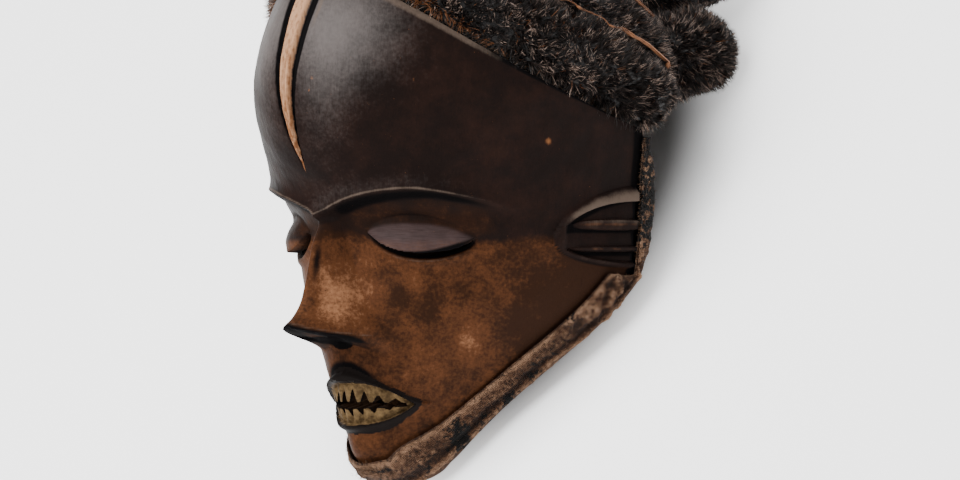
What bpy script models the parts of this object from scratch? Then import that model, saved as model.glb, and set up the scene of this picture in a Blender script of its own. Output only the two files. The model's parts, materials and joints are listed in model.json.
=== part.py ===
"""Carved hollow face mask with a pile wig, lying on its chin band and its two lower buns.

The shape is drawn face on: X to the mask's left, Y to the crown, Z out of the face.
An empty then tips the whole mask back until it rests on its rim side.
"""

import math

import bmesh
import bpy
import numpy as np
from mathutils import Matrix, Vector

# Driving sizes in metres. The free form is drawn in shares of the first three.
HALF_WIDTH = 0.104
FACE_HEIGHT = 0.251
FACE_DEPTH = 0.144
WALL = 0.010
CLEARANCE = 0.0003
BAND_CLEARANCE = 0.0015
SEAT_CLEARANCE = 0.0010
BAND_THICKNESS = 0.003
BAND_FLAP = 0.0115
BAND_INNER_FLAP = 0.008
EAR_STRIP_DEPTH = 0.007
CAP_THICKNESS = 0.0035
ROLL_HEIGHT = 0.0135
STITCH_RADIUS = 0.0011
BUN_RADIUS = 0.0205
EYE_SLIT = 0.0024
REST_FLAT = 0.0014

# One share of each size is 1 mm at the sizes above.
SHARE_X = HALF_WIDTH / 104
SHARE_Y = FACE_HEIGHT / 251
SHARE_Z = FACE_DEPTH / 144
SHARE = (SHARE_X + SHARE_Y + SHARE_Z) / 3
SHARES = np.array((SHARE_X, SHARE_Y, SHARE_Z))

# Mesh density of the carved face, before and after thinning.
FACE_COLUMNS = 136
FACE_ROWS = 128
FACE_TRIANGLES = 2920
PILE_TRIANGLES = 950

# Sections of the head from chin to crown, in shares:
# height, depth at the middle, how fast it recedes sideways, half width.
SECTIONS = (
    (-124, 62, 0.060, 56),
    (-118, 80, 0.050, 62),
    (-110, 90, 0.044, 66),
    (-98, 95, 0.036, 72),
    (-84, 99, 0.028, 82),
    (-70, 102.5, 0.021, 90),
    (-55, 104.5, 0.0155, 95),
    (-36, 107, 0.0112, 99),
    (-18, 107, 0.0093, 101),
    (0, 110, 0.0086, 102),
    (10, 115, 0.0090, 103),
    (22, 123, 0.0098, 104.5),
    (45, 137, 0.0106, 107),
    (72, 144, 0.0108, 107.5),
    (95, 140.5, 0.0118, 106),
    (117, 131, 0.0130, 104),
    (140, 112, 0.0150, 98),
)
# Ridge of the nose from brow to tip: height, rise over the cheeks, half width.
NOSE = (
    (16, 0, 6),
    (7, 6, 7),
    (-3, 15, 8.5),
    (-13, 19.5, 10.5),
    (-25, 22.5, 13.5),
    (-35, 26, 18),
    (-41, 31, 21.5),
    (-46, 38, 24),
    (-60, 38, 24),
)
NOSE_BASE = -44.5
PIVOT_Y = 50
PIVOT_Z = -8
BACK_ANGLE = math.radians(92)
JAW_SLOPE = 0.71
JAW_ANCHOR_Y = -17
JAW_ANCHOR_Z = -5
CHIN_PART = -0.085
CHIN_FLOOR = -120
EYE_X = 41.8
EYE_Y = 1.8
EYE_HALF = 21.5
MOUTH_Y = -83.5
MOUTH_OUTER = 30.5
MOUTH_INNER = 27
TEETH = 8
EAR_FRONT_Z = 42
EAR_BACK_Z = -4
EAR_RAISE = 6.0
EAR_RIM = 3.3
EAR_BED = -2.35
GROOVE_FOOT = 30
GROOVE_HEAD = 117
WIG_FRONT = 147
WIG_DECAY = 0.0068
WIG_HALF = 94
WIG_END = math.radians(86)
ROLL_SIDE = 0.48
STITCH_SEAT = 1.08
WIG_TAPER = 1.8
WIG_FULLNESS = 0.66
HAIR_BEARING = 31
HAIR_DROP = 11.4
NAPE_BEARING = 150
# The rolls follow the hairline: bearing of the plane they lie along, and their edges above it.
ROLL_BEARING = 26
ROLL_EDGES = (-20, 40, 67, 90, 130)


def smooth(value):
    value = np.clip(value, 0.0, 1.0)
    return value * value * (3 - 2 * value)


def along(table, column, height):
    """A smooth curve through one column of a table that is ordered by its first column."""
    rows = sorted(table)
    knots = np.array([row[0] for row in rows], float)
    values = np.array([row[column] for row in rows], float)
    slopes = np.gradient(values, knots)
    height = np.clip(height, knots[0], knots[-1])
    index = np.clip(np.searchsorted(knots, height, side="right") - 1, 0, len(knots) - 2)
    step = knots[index + 1] - knots[index]
    part = (height - knots[index]) / step
    square = part * part
    cube = square * part
    return (
        (2 * cube - 3 * square + 1) * values[index]
        + (cube - 2 * square + part) * step * slopes[index]
        + (3 * square - 2 * cube) * values[index + 1]
        + (cube - square) * step * slopes[index + 1]
    )


def head_radius(angle, height):
    """Plain head without carving: distance from the upright axis."""
    depth = along(SECTIONS, 1, height)
    recede = along(SECTIONS, 2, height)
    width = along(SECTIONS, 3, height)
    sine = np.abs(np.sin(angle))
    cosine = np.cos(angle)
    front = 2 * depth / (cosine + np.sqrt(cosine**2 + 4 * recede * depth * sine**2))
    side = width / np.maximum(sine, 0.05)
    return (front**-8.0 + side**-8.0) ** (-1 / 8.0)


def brow_relief(x, y):
    across = np.abs(x)
    rise = np.where(across < 50, 12.8 * np.abs((50 - across) / 50) ** 1.8, 7.4 * np.abs((across - 50) / 23) ** 1.7)
    above = y - (22.6 - rise)
    crest = np.where(above > 0, np.exp(-np.maximum(above, 0) / 7.5), np.exp(-np.abs(above / 2.6) ** 1.7))
    return 6.2 * crest * (1 - smooth((across - 54) / 26))


def nose_relief(x, y):
    across = np.abs(x)
    share = across / along(NOSE, 2, y)
    blunt = 0.16
    wedge = 1 - (np.sqrt(share**2 + blunt**2) - blunt) / (math.sqrt(1 + blunt**2) - blunt)
    wedge = np.where(wedge > 0.12, wedge, 0.12 * np.exp(np.minimum(wedge - 0.12, 0) / 0.12) * 1.0)
    wedge = wedge * (1 - smooth((share - 1.0) / 0.5))
    under = smooth((NOSE_BASE - 0.30 * across - y) / 9.0)
    return along(NOSE, 1, y) * wedge * (1 - under)


def eye_edges(x):
    part = (np.abs(x) - EYE_X) / EYE_HALF
    middle = EYE_Y - 1.6 * (part + 1)
    arch = np.maximum(1 - part**2, 0) ** 0.8
    return part, middle + 9.2 * arch, middle - 9.0 * arch


def eye_relief(x, y):
    part, top, bottom = eye_edges(x)
    window = np.sqrt(np.maximum(1 - part**2, 0))
    level = (y - bottom) / np.maximum(top - bottom, 0.5)
    lid = 6.6 * window * smooth((1 - level) / 0.75) * (level >= 0)
    below = bottom - y
    rim = 1.6 * window * np.exp(-(((below - 4.4) / 2.0) ** 2)) * (below > 0)
    slit = -2.0 * window * (below > 0) * (1 - smooth((below - 2.0) / 1.4))
    socket = -1.8 * np.exp(-(((y - 9.5) / 4.5) ** 2) - (part / 1.1) ** 4)
    return lid + rim + slit + socket


def mouth_edges(x):
    outer = np.abs(x) / MOUTH_OUTER
    inner = np.abs(x) / MOUTH_INNER
    outer_top = MOUTH_Y + 20 * np.maximum(1 - outer, 0) ** 0.75 - 2.0 * np.exp(-((x / 4.5) ** 2))
    outer_low = MOUTH_Y - 14.5 * np.maximum(1 - outer**2.6, 0) ** 0.9
    inner_top = MOUTH_Y + 11.2 * np.maximum(1 - inner**3.4, 0)
    inner_low = MOUTH_Y - 10.8 * np.maximum(1 - inner**2.8, 0)
    return outer_top, outer_low, inner_top, inner_low


def mouth_relief(x, y):
    outer_top, outer_low, inner_top, inner_low = mouth_edges(x)
    upper = (y - inner_top) / np.maximum(outer_top - inner_top, 1.2)
    lower = (inner_low - y) / np.maximum(inner_low - outer_low, 1.2)
    level = np.where(y > MOUTH_Y, upper, lower)
    swell = 1 - smooth((np.abs(x) - 20) / 20)
    lip = 3.6 * (1 - smooth((level - 0.30) / 0.70)) * (0.45 + 0.55 * swell) * (level >= 0)
    lip = lip * smooth((MOUTH_OUTER - np.abs(x)) / 2 + 0.5)
    opening = (level < 0) & (np.abs(x) < MOUTH_INNER)
    step = np.minimum(inner_top - y, y - inner_low)
    bed = -0.9 * smooth(step / 1.6) + 3.6 * (1 - smooth(step / 1.2)) * 0.7 + 1.3 * swell * smooth(step / 3)
    return np.where(opening, bed, lip)


def ear_edges(z):
    share = (EAR_FRONT_Z - z) / (EAR_FRONT_Z - EAR_BACK_Z)
    round_front = np.maximum(1 - (1 - np.clip(share, 0, 1)) ** 2, 0)
    return share, -1 + 24.8 * round_front**0.62, -1 - 15.6 * round_front**0.40


def groove_relief(x, y):
    rise = np.clip((GROOVE_HEAD - y) / (GROOVE_HEAD - GROOVE_FOOT), 0, 1)
    half = np.maximum(9.8 * (1 - rise**1.7), 0.01)
    across = np.abs(x) / half
    ridge = 1.0 * (1 - smooth((across - 0.30) / 0.28))
    bed = -2.0 * (1 - smooth((across - 0.86) / 0.2)) * smooth((across - 0.40) / 0.2)
    return (ridge + bed) * smooth(half / 3.0) * (y > GROOVE_FOOT)


def face_radius(angle, height):
    """Carved face: distance from the upright axis at a bearing and a height."""
    plain = head_radius(angle, height)
    x = plain * np.sin(angle)
    return (
        plain
        + brow_relief(x, height)
        + nose_relief(x, height)
        + eye_relief(x, height)
        + mouth_relief(x, height)
        + groove_relief(x, height)
    )


def inner_radius(angle, height):
    plain = head_radius(angle, np.maximum(height, -112))
    fall = 1 - smooth((-106 - height) / 16) * 0.12
    return plain * fall - WALL / SHARE


def hair_bearing(x):
    """Bearing of the hairline about the ear-to-ear pivot, in radians."""
    return np.radians(HAIR_BEARING - HAIR_DROP * np.clip(np.abs(x) / 104, 0, 1) ** 2.2)


def jaw_plane(height):
    return JAW_ANCHOR_Z - JAW_SLOPE * (height - JAW_ANCHOR_Y)


def top_height(angle, radius_of):
    """Height at which the wood meets the hairline, by halving."""
    low = np.full_like(angle, 40.0)
    high = np.full_like(angle, 138.0)
    for _ in range(40):
        middle = (low + high) / 2
        radius = radius_of(angle, middle)
        x = radius * np.sin(angle)
        z = radius * np.cos(angle)
        past = np.arctan2(middle - PIVOT_Y, np.maximum(z - PIVOT_Z, 0.3)) > hair_bearing(x)
        high = np.where(past, middle, high)
        low = np.where(past, low, middle)
    return (low + high) / 2


def bottom_height(angle, radius_of, floor):
    """Height at which the wood meets the jaw plane, or the underside of the chin."""
    low = np.full_like(angle, floor)
    high = np.full_like(angle, 0.0)
    for _ in range(40):
        middle = (low + high) / 2
        behind = radius_of(angle, middle) * np.cos(angle) < jaw_plane(middle)
        low = np.where(behind, middle, low)
        high = np.where(behind, high, middle)
    return (low + high) / 2


def point(angle, height, radius):
    return np.stack((radius * np.sin(angle), height, radius * np.cos(angle)), axis=-1)


def spread(count):
    """Bearings from back edge to back edge, closer together over the nose, mouth and eyes."""
    share = np.linspace(-1, 1, count + 1)
    return BACK_ANGLE * (0.62 * share + 0.38 * share**3)


def sheet(columns, rows, radius_of, floor):
    angle = spread(columns)
    low = bottom_height(angle, radius_of, floor)
    high = top_height(angle, radius_of)
    share = np.linspace(0, 1, rows + 1)
    share = share - 0.06 * np.sin(2 * math.pi * share)
    angles = np.repeat(angle[:, None], rows + 1, axis=1)
    heights = low[:, None] + (high - low)[:, None] * share[None, :]
    return point(angles, heights, radius_of(angles, heights))


def mesh_object(name, vertices, faces, material):
    mesh = bpy.data.meshes.new(name)
    mesh.from_pydata([tuple(vertex) for vertex in np.asarray(vertices) * SHARES], [], faces)
    work = bmesh.new()
    work.from_mesh(mesh)
    bmesh.ops.recalc_face_normals(work, faces=work.faces)
    if work.calc_volume(signed=True) < 0:
        bmesh.ops.reverse_faces(work, faces=work.faces)
    work.to_mesh(mesh)
    work.free()
    made = bpy.data.objects.new(name, mesh)
    bpy.context.scene.collection.objects.link(made)
    if material is not None:
        mesh.materials.append(material)
    mesh.shade_smooth()
    return made


def paint(name, colour, roughness):
    material = bpy.data.materials.new(name)
    material.use_nodes = True
    shader = material.node_tree.nodes["Principled BSDF"]
    shader.inputs["Base Color"].default_value = (*colour, 1.0)
    shader.inputs["Roughness"].default_value = roughness
    material.diffuse_color = (*colour, 1.0)
    return material


def grid_faces(columns, rows, start=0, flip=False):
    faces = []
    for column in range(columns):
        for row in range(rows):
            first = start + column * (rows + 1) + row
            quad = (first, first + rows + 1, first + rows + 2, first + 1)
            faces.append(quad[::-1] if flip else quad)
    return faces


def border(columns, rows, start=0):
    """Vertex numbers round the edge of a grid, in order."""
    side = rows + 1
    ring = [start + row for row in range(rows + 1)]
    ring += [start + column * side + rows for column in range(1, columns + 1)]
    ring += [start + columns * side + row for row in range(rows - 1, -1, -1)]
    ring += [start + column * side for column in range(columns - 1, 0, -1)]
    return ring


def apply_boolean(target, cutter, operation):
    cut = target.modifiers.new("cut", "BOOLEAN")
    cut.operation = operation
    cut.solver = "EXACT"
    cut.object = cutter
    bake(target)
    bpy.data.objects.remove(cutter, do_unlink=True)


def bake(target):
    """Turn the evaluated shape of an object into its own mesh."""
    graph = bpy.context.evaluated_depsgraph_get()
    fresh = bpy.data.meshes.new_from_object(target.evaluated_get(graph))
    target.modifiers.clear()
    old = target.data
    target.data = fresh
    bpy.data.meshes.remove(old)


def surface_band(angle, low, high, depth_out, depth_in, slant=0.0):
    """A closed strip between two lines over the head, from depth_out over it to depth_in under it.

    The slant is how far the strip climbs for each step inwards.
    """
    count = len(angle)
    depth_out = depth_out + np.zeros(count)
    vertices = []
    for reach in (depth_out, -depth_in + np.zeros(count)):
        for heights in (low, high):
            radius = head_radius(angle, heights) + reach
            vertices.append(point(angle, heights - slant * reach, radius))
    vertices = np.concatenate(vertices)
    faces = []
    outer_low, outer_high, inner_low, inner_high = (range(k * count, (k + 1) * count) for k in range(4))
    for k in range(count - 1):
        faces.append((outer_low[k], outer_low[k + 1], outer_high[k + 1], outer_high[k]))
        faces.append((inner_high[k], inner_high[k + 1], inner_low[k + 1], inner_low[k]))
        faces.append((inner_low[k], inner_low[k + 1], outer_low[k + 1], outer_low[k]))
        faces.append((outer_high[k], outer_high[k + 1], inner_high[k + 1], inner_high[k]))
    faces.append((outer_low[0], outer_high[0], inner_high[0], inner_low[0]))
    faces.append((inner_low[-1], inner_high[-1], outer_high[-1], outer_low[-1]))
    return vertices, faces


def angle_at(x, height):
    """Bearing on the plain head at which the sideways distance is x."""
    low = np.zeros_like(x)
    high = np.full_like(x, math.radians(85))
    for _ in range(40):
        middle = (low + high) / 2
        past = head_radius(middle, height) * np.sin(middle) > np.abs(x)
        high = np.where(past, middle, high)
        low = np.where(past, low, middle)
    return np.sign(x) * (low + high) / 2


def eye_cutter(side):
    x = np.linspace(EYE_X - EYE_HALF * 0.93, EYE_X + EYE_HALF * 0.93, 11)
    part, _, bottom = eye_edges(x)
    tall = EYE_SLIT / SHARE_Y * np.maximum(1 - part**2, 0.02) ** 0.5
    angle = angle_at(x, bottom - tall / 2)
    high = bottom + 0.3
    low = bottom - tall
    if side < 0:
        angle, low, high = -angle[::-1], low[::-1], high[::-1]
    return surface_band(angle, low, high, 14, 30, 0.5)


def teeth_cutter():
    """Zigzag gap between the upper and the lower teeth."""
    half = MOUTH_INNER * 0.88
    x = np.linspace(-half, half, TEETH * 2 + 1)
    part = np.abs(x) / half
    notch = np.where(np.arange(len(x)) % 2 == 1, 1.0, 0.0)
    slot = 0.7 + 0.7 * (1 - part)
    middle = MOUTH_Y - 0.6 * (1 - part)
    high = middle + slot + notch * 6.4 * (1 - part**2.2) ** 0.9
    low = middle - slot - (1 - notch) * 3.4 * (1 - part**2.2) ** 0.9
    angle = angle_at(x, np.full_like(x, MOUTH_Y))
    return surface_band(angle, low, high, 14, 30, 0.25)


def ear_strip(side, low, high, front, back, over, under):
    """A strip of the ear between two heights, as functions of the depth, from front to back."""
    z = np.linspace(front, back, 9)
    angle = np.arccos(np.clip(z / 104, -1, 1))
    for _ in range(12):
        angle = np.arccos(np.clip(z / head_radius(angle, np.zeros(len(z))), -1, 1))
    heights_low, heights_high = low(z), high(z)
    if side < 0:
        angle, heights_low, heights_high = -angle, heights_low, heights_high
    return surface_band(angle, heights_low, heights_high, over(z), under)


def ear_pieces(side):
    """The raised half oval of an ear, then the three hollows between its rim and bars."""

    def raise_of(z):
        return EAR_RAISE * (0.45 + 0.55 * np.clip(ear_edges(z)[0], 0, 1))

    def top(z):
        return ear_edges(z)[1]

    def foot(z):
        return ear_edges(z)[2]

    body = ear_strip(side, foot, top, EAR_FRONT_Z - 0.4, EAR_BACK_Z + 3.4, raise_of, 4.0)
    front = EAR_FRONT_Z - EAR_RIM * 1.6
    back = EAR_BACK_Z + 3.4 + EAR_RIM * 0.6
    hollows = []
    for low, high in ((6.9, 40.0), (-5.9, 3.6), (-40.0, -8.0)):
        def under(z, level=low):
            return np.maximum(foot(z) + EAR_RIM, np.minimum(level, top(z) - EAR_RIM - 0.5))

        def over(z, level=high):
            return np.maximum(np.minimum(top(z) - EAR_RIM, level), foot(z) + EAR_RIM + 0.5)

        start = front
        while over(np.array([start]))[0] - under(np.array([start]))[0] < 2.0 and start > back:
            start -= 0.5
        hollows.append(ear_strip(side, under, over, start, back, lambda z: raise_of(z) + 8.0, EAR_BED))
    return body, hollows


def nostril(side):
    work = bmesh.new()
    bmesh.ops.create_uvsphere(work, u_segments=10, v_segments=6, radius=1.0)
    turn = Matrix.Rotation(math.radians(24) * side, 4, "Y") @ Matrix.Rotation(math.radians(-28), 4, "X")
    place = Matrix.Translation((side * 9.5, -53.0, 117.5)) @ turn @ Matrix.Diagonal((3.4, 3.2, 8.0, 1.0))
    bmesh.ops.transform(work, matrix=place, verts=work.verts)
    vertices = np.array([vertex.co[:] for vertex in work.verts])
    faces = [tuple(vertex.index for vertex in face.verts) for face in work.faces]
    work.free()
    return vertices, faces


def carve_face(material):
    outer = sheet(FACE_COLUMNS, FACE_ROWS, face_radius, CHIN_FLOOR)
    inner = sheet(FACE_COLUMNS // 2, FACE_ROWS // 2, inner_radius, CHIN_FLOOR + 8)
    columns, rows = FACE_COLUMNS, FACE_ROWS
    offset = (columns + 1) * (rows + 1)
    vertices = np.concatenate((outer.reshape(-1, 3), inner.reshape(-1, 3)))
    faces = grid_faces(columns, rows)
    faces += grid_faces(columns // 2, rows // 2, offset, flip=True)
    outside = border(columns, rows)
    inside = border(columns // 2, rows // 2, offset)
    total = len(inside)
    for k in range(total):
        near, far = inside[k], inside[(k + 1) % total]
        first, middle, last = outside[2 * k], outside[2 * k + 1], outside[(2 * k + 2) % len(outside)]
        faces.append((first, middle, near))
        faces.append((middle, far, near))
        faces.append((middle, last, far))
    face = mesh_object("carved_face", vertices, faces, material)
    face.data.calc_loop_triangles()
    thin = face.modifiers.new("thin", "DECIMATE")
    thin.ratio = FACE_TRIANGLES / len(face.data.loop_triangles)
    bake(face)
    cutters = [eye_cutter(1), eye_cutter(-1), teeth_cutter(), nostril(1), nostril(-1)]
    for side in (1, -1):
        body, hollows = ear_pieces(side)
        apply_boolean(face, mesh_object("ear", *body, None), "UNION")
        cutters += hollows
    for shape in cutters:
        apply_boolean(face, mesh_object("cutter", *shape, None), "DIFFERENCE")
    drop_folds(face)
    keep_largest(face)
    return face


def wig_point(tilt, bearing, lift):
    """Point of the wig: tilt from the middle plane, bearing about the pivot, lift off the lining."""
    reach = WIG_FRONT * np.exp(-WIG_DECAY * (np.degrees(bearing) - HAIR_BEARING)) + lift
    share = np.clip(np.abs(np.sin(tilt)), 0, 1)
    reach = reach * (1 - share**WIG_TAPER) ** WIG_FULLNESS
    return np.stack(
        (
            (WIG_HALF + lift) * np.sin(tilt),
            PIVOT_Y + reach * np.sin(bearing),
            PIVOT_Z + reach * np.cos(bearing),
        ),
        axis=-1,
    )


def above_hairline(spots):
    """Height of points over the plane that the rolls lie along."""
    turn = math.radians(ROLL_BEARING + 90)
    return (spots[..., 1] - PIVOT_Y) * math.sin(turn) + (spots[..., 2] - PIVOT_Z) * math.cos(turn)


def roll_share(spots):
    """How far across its roll each point lies, from 0 at one edge to 1 at the other."""
    level = above_hairline(spots)
    edges = np.array((0,) + ROLL_EDGES[1:-1] + (ROLL_EDGES[-1] - 8,), float)
    index = np.clip(np.searchsorted(edges, level, side="right") - 1, 0, len(edges) - 2)
    return np.clip((level - edges[index]) / (edges[index + 1] - edges[index]), 0, 1)


def wig_grid(columns, rows, margin=0.0):
    """Tilts and bearings over the whole wig, a margin inside its hairline and nape."""
    share = np.linspace(-1, 1, columns + 1)
    tilt = WIG_END * (1.2 * share - 0.2 * share**3)
    reach = 100 * np.maximum(np.cos(tilt), 0.08)
    start = hair_bearing(WIG_HALF * np.sin(tilt)) + margin / reach
    end = math.radians(NAPE_BEARING) - margin / reach
    across = np.linspace(0, 1, rows + 1)
    bearing = start[:, None] + (end - start)[:, None] * across[None, :]
    return np.repeat(tilt[:, None], rows + 1, axis=1), bearing


def closed_patch(top, bottom):
    """Vertices and faces of a body between two grids of points of the same shape."""
    columns, rows = top.shape[0] - 1, top.shape[1] - 1
    offset = (columns + 1) * (rows + 1)
    vertices = np.concatenate((top.reshape(-1, 3), bottom.reshape(-1, 3)))
    faces = grid_faces(columns, rows) + grid_faces(columns, rows, offset, flip=True)
    ring = border(columns, rows)
    for k, first in enumerate(ring):
        last = ring[(k + 1) % len(ring)]
        faces.append((first, last, last + offset, first + offset))
    return vertices, faces


def build_cap(material):
    tilt, bearing = wig_grid(16, 6, SEAT_CLEARANCE / SHARE)
    top = wig_point(tilt, bearing, np.full_like(tilt, CAP_THICKNESS / SHARE))
    bottom = wig_point(tilt, bearing, np.zeros_like(tilt))
    return mesh_object("wig_cap", *closed_patch(top, bottom), material)


def roll_lift(tilt, bearing):
    """Lift of the pile: each roll is arched, and lower near the hairline, nape and corners."""
    base = (CAP_THICKNESS + SEAT_CLEARANCE) / SHARE
    level = wig_point(tilt, bearing, np.full_like(tilt, base + 7))
    arch = np.sin(math.pi * roll_share(level)) ** 0.8
    corner = 0.45 + 0.55 * smooth((math.radians(88) - np.abs(tilt)) / 0.45)
    hair = smooth((bearing - hair_bearing(WIG_HALF * np.sin(tilt))) / 0.14)
    nape = smooth((math.radians(NAPE_BEARING) - bearing) / 0.18)
    side = ROLL_SIDE + (1 - ROLL_SIDE) * arch
    return base + ROLL_HEIGHT / SHARE * side * corner * (0.45 + 0.55 * hair * nape)


def build_rolls(material):
    """The pile over the whole cap, then one solid from each strip between two roll edges."""
    tilt, bearing = wig_grid(72, 60, SEAT_CLEARANCE / SHARE)
    base = (CAP_THICKNESS + SEAT_CLEARANCE) / SHARE
    top = wig_point(tilt, bearing, roll_lift(tilt, bearing))
    bottom = wig_point(tilt, bearing, np.full_like(tilt, base))
    names = ["wig_roll_1", "wig_roll_2", "wig_roll_3", "wig_crown"]
    turn = math.radians(ROLL_BEARING)
    up = np.array((0, math.cos(turn), -math.sin(turn)))
    ahead = np.array((0, math.sin(turn), math.cos(turn)))
    made = []
    for index, name in enumerate(names):
        pile = mesh_object(name, *closed_patch(top, bottom), material)
        gap = CLEARANCE / SHARE / 2
        low, high = ROLL_EDGES[index] + gap, ROLL_EDGES[index + 1] - gap
        corners = []
        for level in (low, high):
            for x, z in ((-160, -160), (160, -160), (160, 240), (-160, 240)):
                corners.append(np.array((0, PIVOT_Y, PIVOT_Z)) + np.array((x, 0, 0)) + up * level + ahead * z)
        faces = [(3, 2, 1, 0), (4, 5, 6, 7), (0, 1, 5, 4), (1, 2, 6, 5), (2, 3, 7, 6), (3, 0, 4, 7)]
        pile.data.calc_loop_triangles()
        thin = pile.modifiers.new("thin", "DECIMATE")
        thin.ratio = PILE_TRIANGLES / len(pile.data.loop_triangles)
        bake(pile)
        apply_boolean(pile, mesh_object("slab", corners, faces, None), "INTERSECT")
        made.append(pile)
    return made


def build_bun(name, tip, base, radius, material):
    """A rounded lobe from its seat on the wig to its tip, cut to lie on the rolls."""
    rings, segments = 8, 14
    tip = Vector(tip)
    base = Vector(base)
    axis = (tip - base).normalized()
    side = axis.orthogonal().normalized()
    other = axis.cross(side)
    length = (tip - base).length + radius
    vertices = [tuple(base)]
    for ring in range(1, rings):
        share = ring / rings
        swell = radius * min(1.0, 0.80 + 0.2 * math.sin(share * math.pi)) if share < 0.62 else radius
        round_end = math.sqrt(max(1 - max((share * length - (length - radius)) / radius, 0) ** 2, 0))
        for segment in range(segments):
            turn = 2 * math.pi * segment / segments
            spot = base + axis * (share * length) + (side * math.cos(turn) + other * math.sin(turn)) * swell * round_end
            vertices.append(tuple(spot))
    vertices.append(tuple(base + axis * length))
    faces = []
    last = len(vertices) - 1
    for segment in range(segments):
        after = (segment + 1) % segments
        faces.append((0, 1 + after, 1 + segment))
        for ring in range(rings - 2):
            low = 1 + ring * segments
            faces.append((low + segment, low + after, low + segments + after, low + segments + segment))
        low = 1 + (rings - 2) * segments
        faces.append((low + segment, low + after, last))
    bun = mesh_object(name, vertices, faces, material)
    tilt, bearing = wig_grid(26, 18, -3.0)
    clear = (CAP_THICKNESS + 2 * SEAT_CLEARANCE + ROLL_HEIGHT) / SHARE
    over = wig_point(tilt, bearing, np.full_like(tilt, clear))
    envelope = closed_patch(over, wig_point(tilt, bearing, np.full_like(tilt, -35.0)))
    apply_boolean(bun, mesh_object("cutter", *envelope, None), "DIFFERENCE")
    keep_largest(bun)
    return bun


def drop_folds(target):
    """Drop faces that a cut leaves back to back on the same corners."""
    work = bmesh.new()
    work.from_mesh(target.data)
    groups = {}
    for face in work.faces:
        corners = tuple(sorted(vertex.index for vertex in face.verts))
        groups.setdefault(corners, []).append(face)
    folds = [face for group in groups.values() if len(group) > 1 for face in group]
    bmesh.ops.delete(work, geom=folds, context="FACES")
    work.to_mesh(target.data)
    work.free()


def keep_largest(target):
    """Drop loose crumbs that a cut leaves."""
    work = bmesh.new()
    work.from_mesh(target.data)
    left = set(work.verts)
    groups = []
    while left:
        start = left.pop()
        group = {start}
        queue = [start]
        while queue:
            for edge in queue.pop().link_edges:
                for vertex in edge.verts:
                    if vertex in left:
                        left.discard(vertex)
                        group.add(vertex)
                        queue.append(vertex)
        groups.append(group)
    groups.sort(key=len)
    crumbs = [vertex for group in groups[:-1] for vertex in group]
    bmesh.ops.delete(work, geom=crumbs, context="VERTS")
    work.to_mesh(target.data)
    work.free()


def build_stitch(name, level, start, end, material):
    """A raffia cord that lies in the valley at one roll edge, between two tilts."""
    count = 8
    tilt = np.radians(np.linspace(start, end, count))
    low = np.full(count, math.radians(ROLL_BEARING))
    high = np.full(count, math.radians(ROLL_BEARING + 88))
    lift = (CAP_THICKNESS + SEAT_CLEARANCE + STITCH_SEAT * ROLL_HEIGHT + STITCH_RADIUS) / SHARE
    for _ in range(40):
        middle = (low + high) / 2
        past = above_hairline(wig_point(tilt, middle, np.full(count, lift))) > level
        high = np.where(past, middle, high)
        low = np.where(past, low, middle)
    path = wig_point(tilt, (low + high) / 2, np.full(count, lift))
    radius = STITCH_RADIUS / SHARE
    vertices = []
    for k in range(count):
        ahead = Vector(path[min(k + 1, count - 1)] - path[max(k - 1, 0)]).normalized()
        side = ahead.orthogonal().normalized()
        other = ahead.cross(side)
        for segment in range(5):
            turn = 2 * math.pi * segment / 5
            spot = Vector(path[k]) + (side * math.cos(turn) + other * math.sin(turn)) * radius
            vertices.append(tuple(spot))
    faces = []
    for k in range(count - 1):
        for segment in range(5):
            after = (segment + 1) % 5
            low_ring = k * 5
            faces.append((low_ring + segment, low_ring + after, low_ring + 5 + after, low_ring + 5 + segment))
    faces.append(tuple(range(5)))
    faces.append(tuple(range((count - 1) * 5, count * 5)))
    return mesh_object(name, vertices, faces, material)


def facing(radius_of, spot):
    """Outward direction of a surface of bearings and heights at a point near it."""
    angle = math.atan2(spot[0], spot[2])
    height = spot[1]
    here = []
    for turn, rise in ((0.0, 0.0), (0.01, 0.0), (0.0, 0.6)):
        turned = np.array([angle + turn])
        raised = np.array([height + rise])
        here.append(point(turned, raised, radius_of(turned, raised))[0])
    normal = Vector(here[2] - here[0]).cross(Vector(here[1] - here[0])).normalized()
    return normal if normal.dot(Vector((spot[0], 0, spot[2]))) > 0 else -normal


def settle_on(radius_of, spot):
    angle = np.array([math.atan2(spot[0], spot[2])])
    height = np.array([spot[1]])
    return Vector(point(angle, height, radius_of(angle, height))[0])


def walk(radius_of, spot, away, distance):
    """Go a distance over the surface from the rim, against the direction away, and give spot and facing."""
    steps = 6
    for _ in range(steps):
        normal = facing(radius_of, spot)
        level = (away - normal * away.dot(normal)).normalized()
        spot = settle_on(radius_of, spot - level * (distance / steps))
    return spot, facing(radius_of, spot)


def rim_path():
    """Bearings and heights down the back edge, along the jaw and up the other back edge."""
    angle = spread(30)
    low = bottom_height(angle, head_radius, CHIN_FLOOR)
    climb = np.linspace(PIVOT_Y - 1.5, low[0], 5)[:-1]
    path = [(angle[0], height) for height in climb]
    path += list(zip(angle, low))
    path += [(angle[-1], height) for height in climb[::-1]]
    return path


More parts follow.
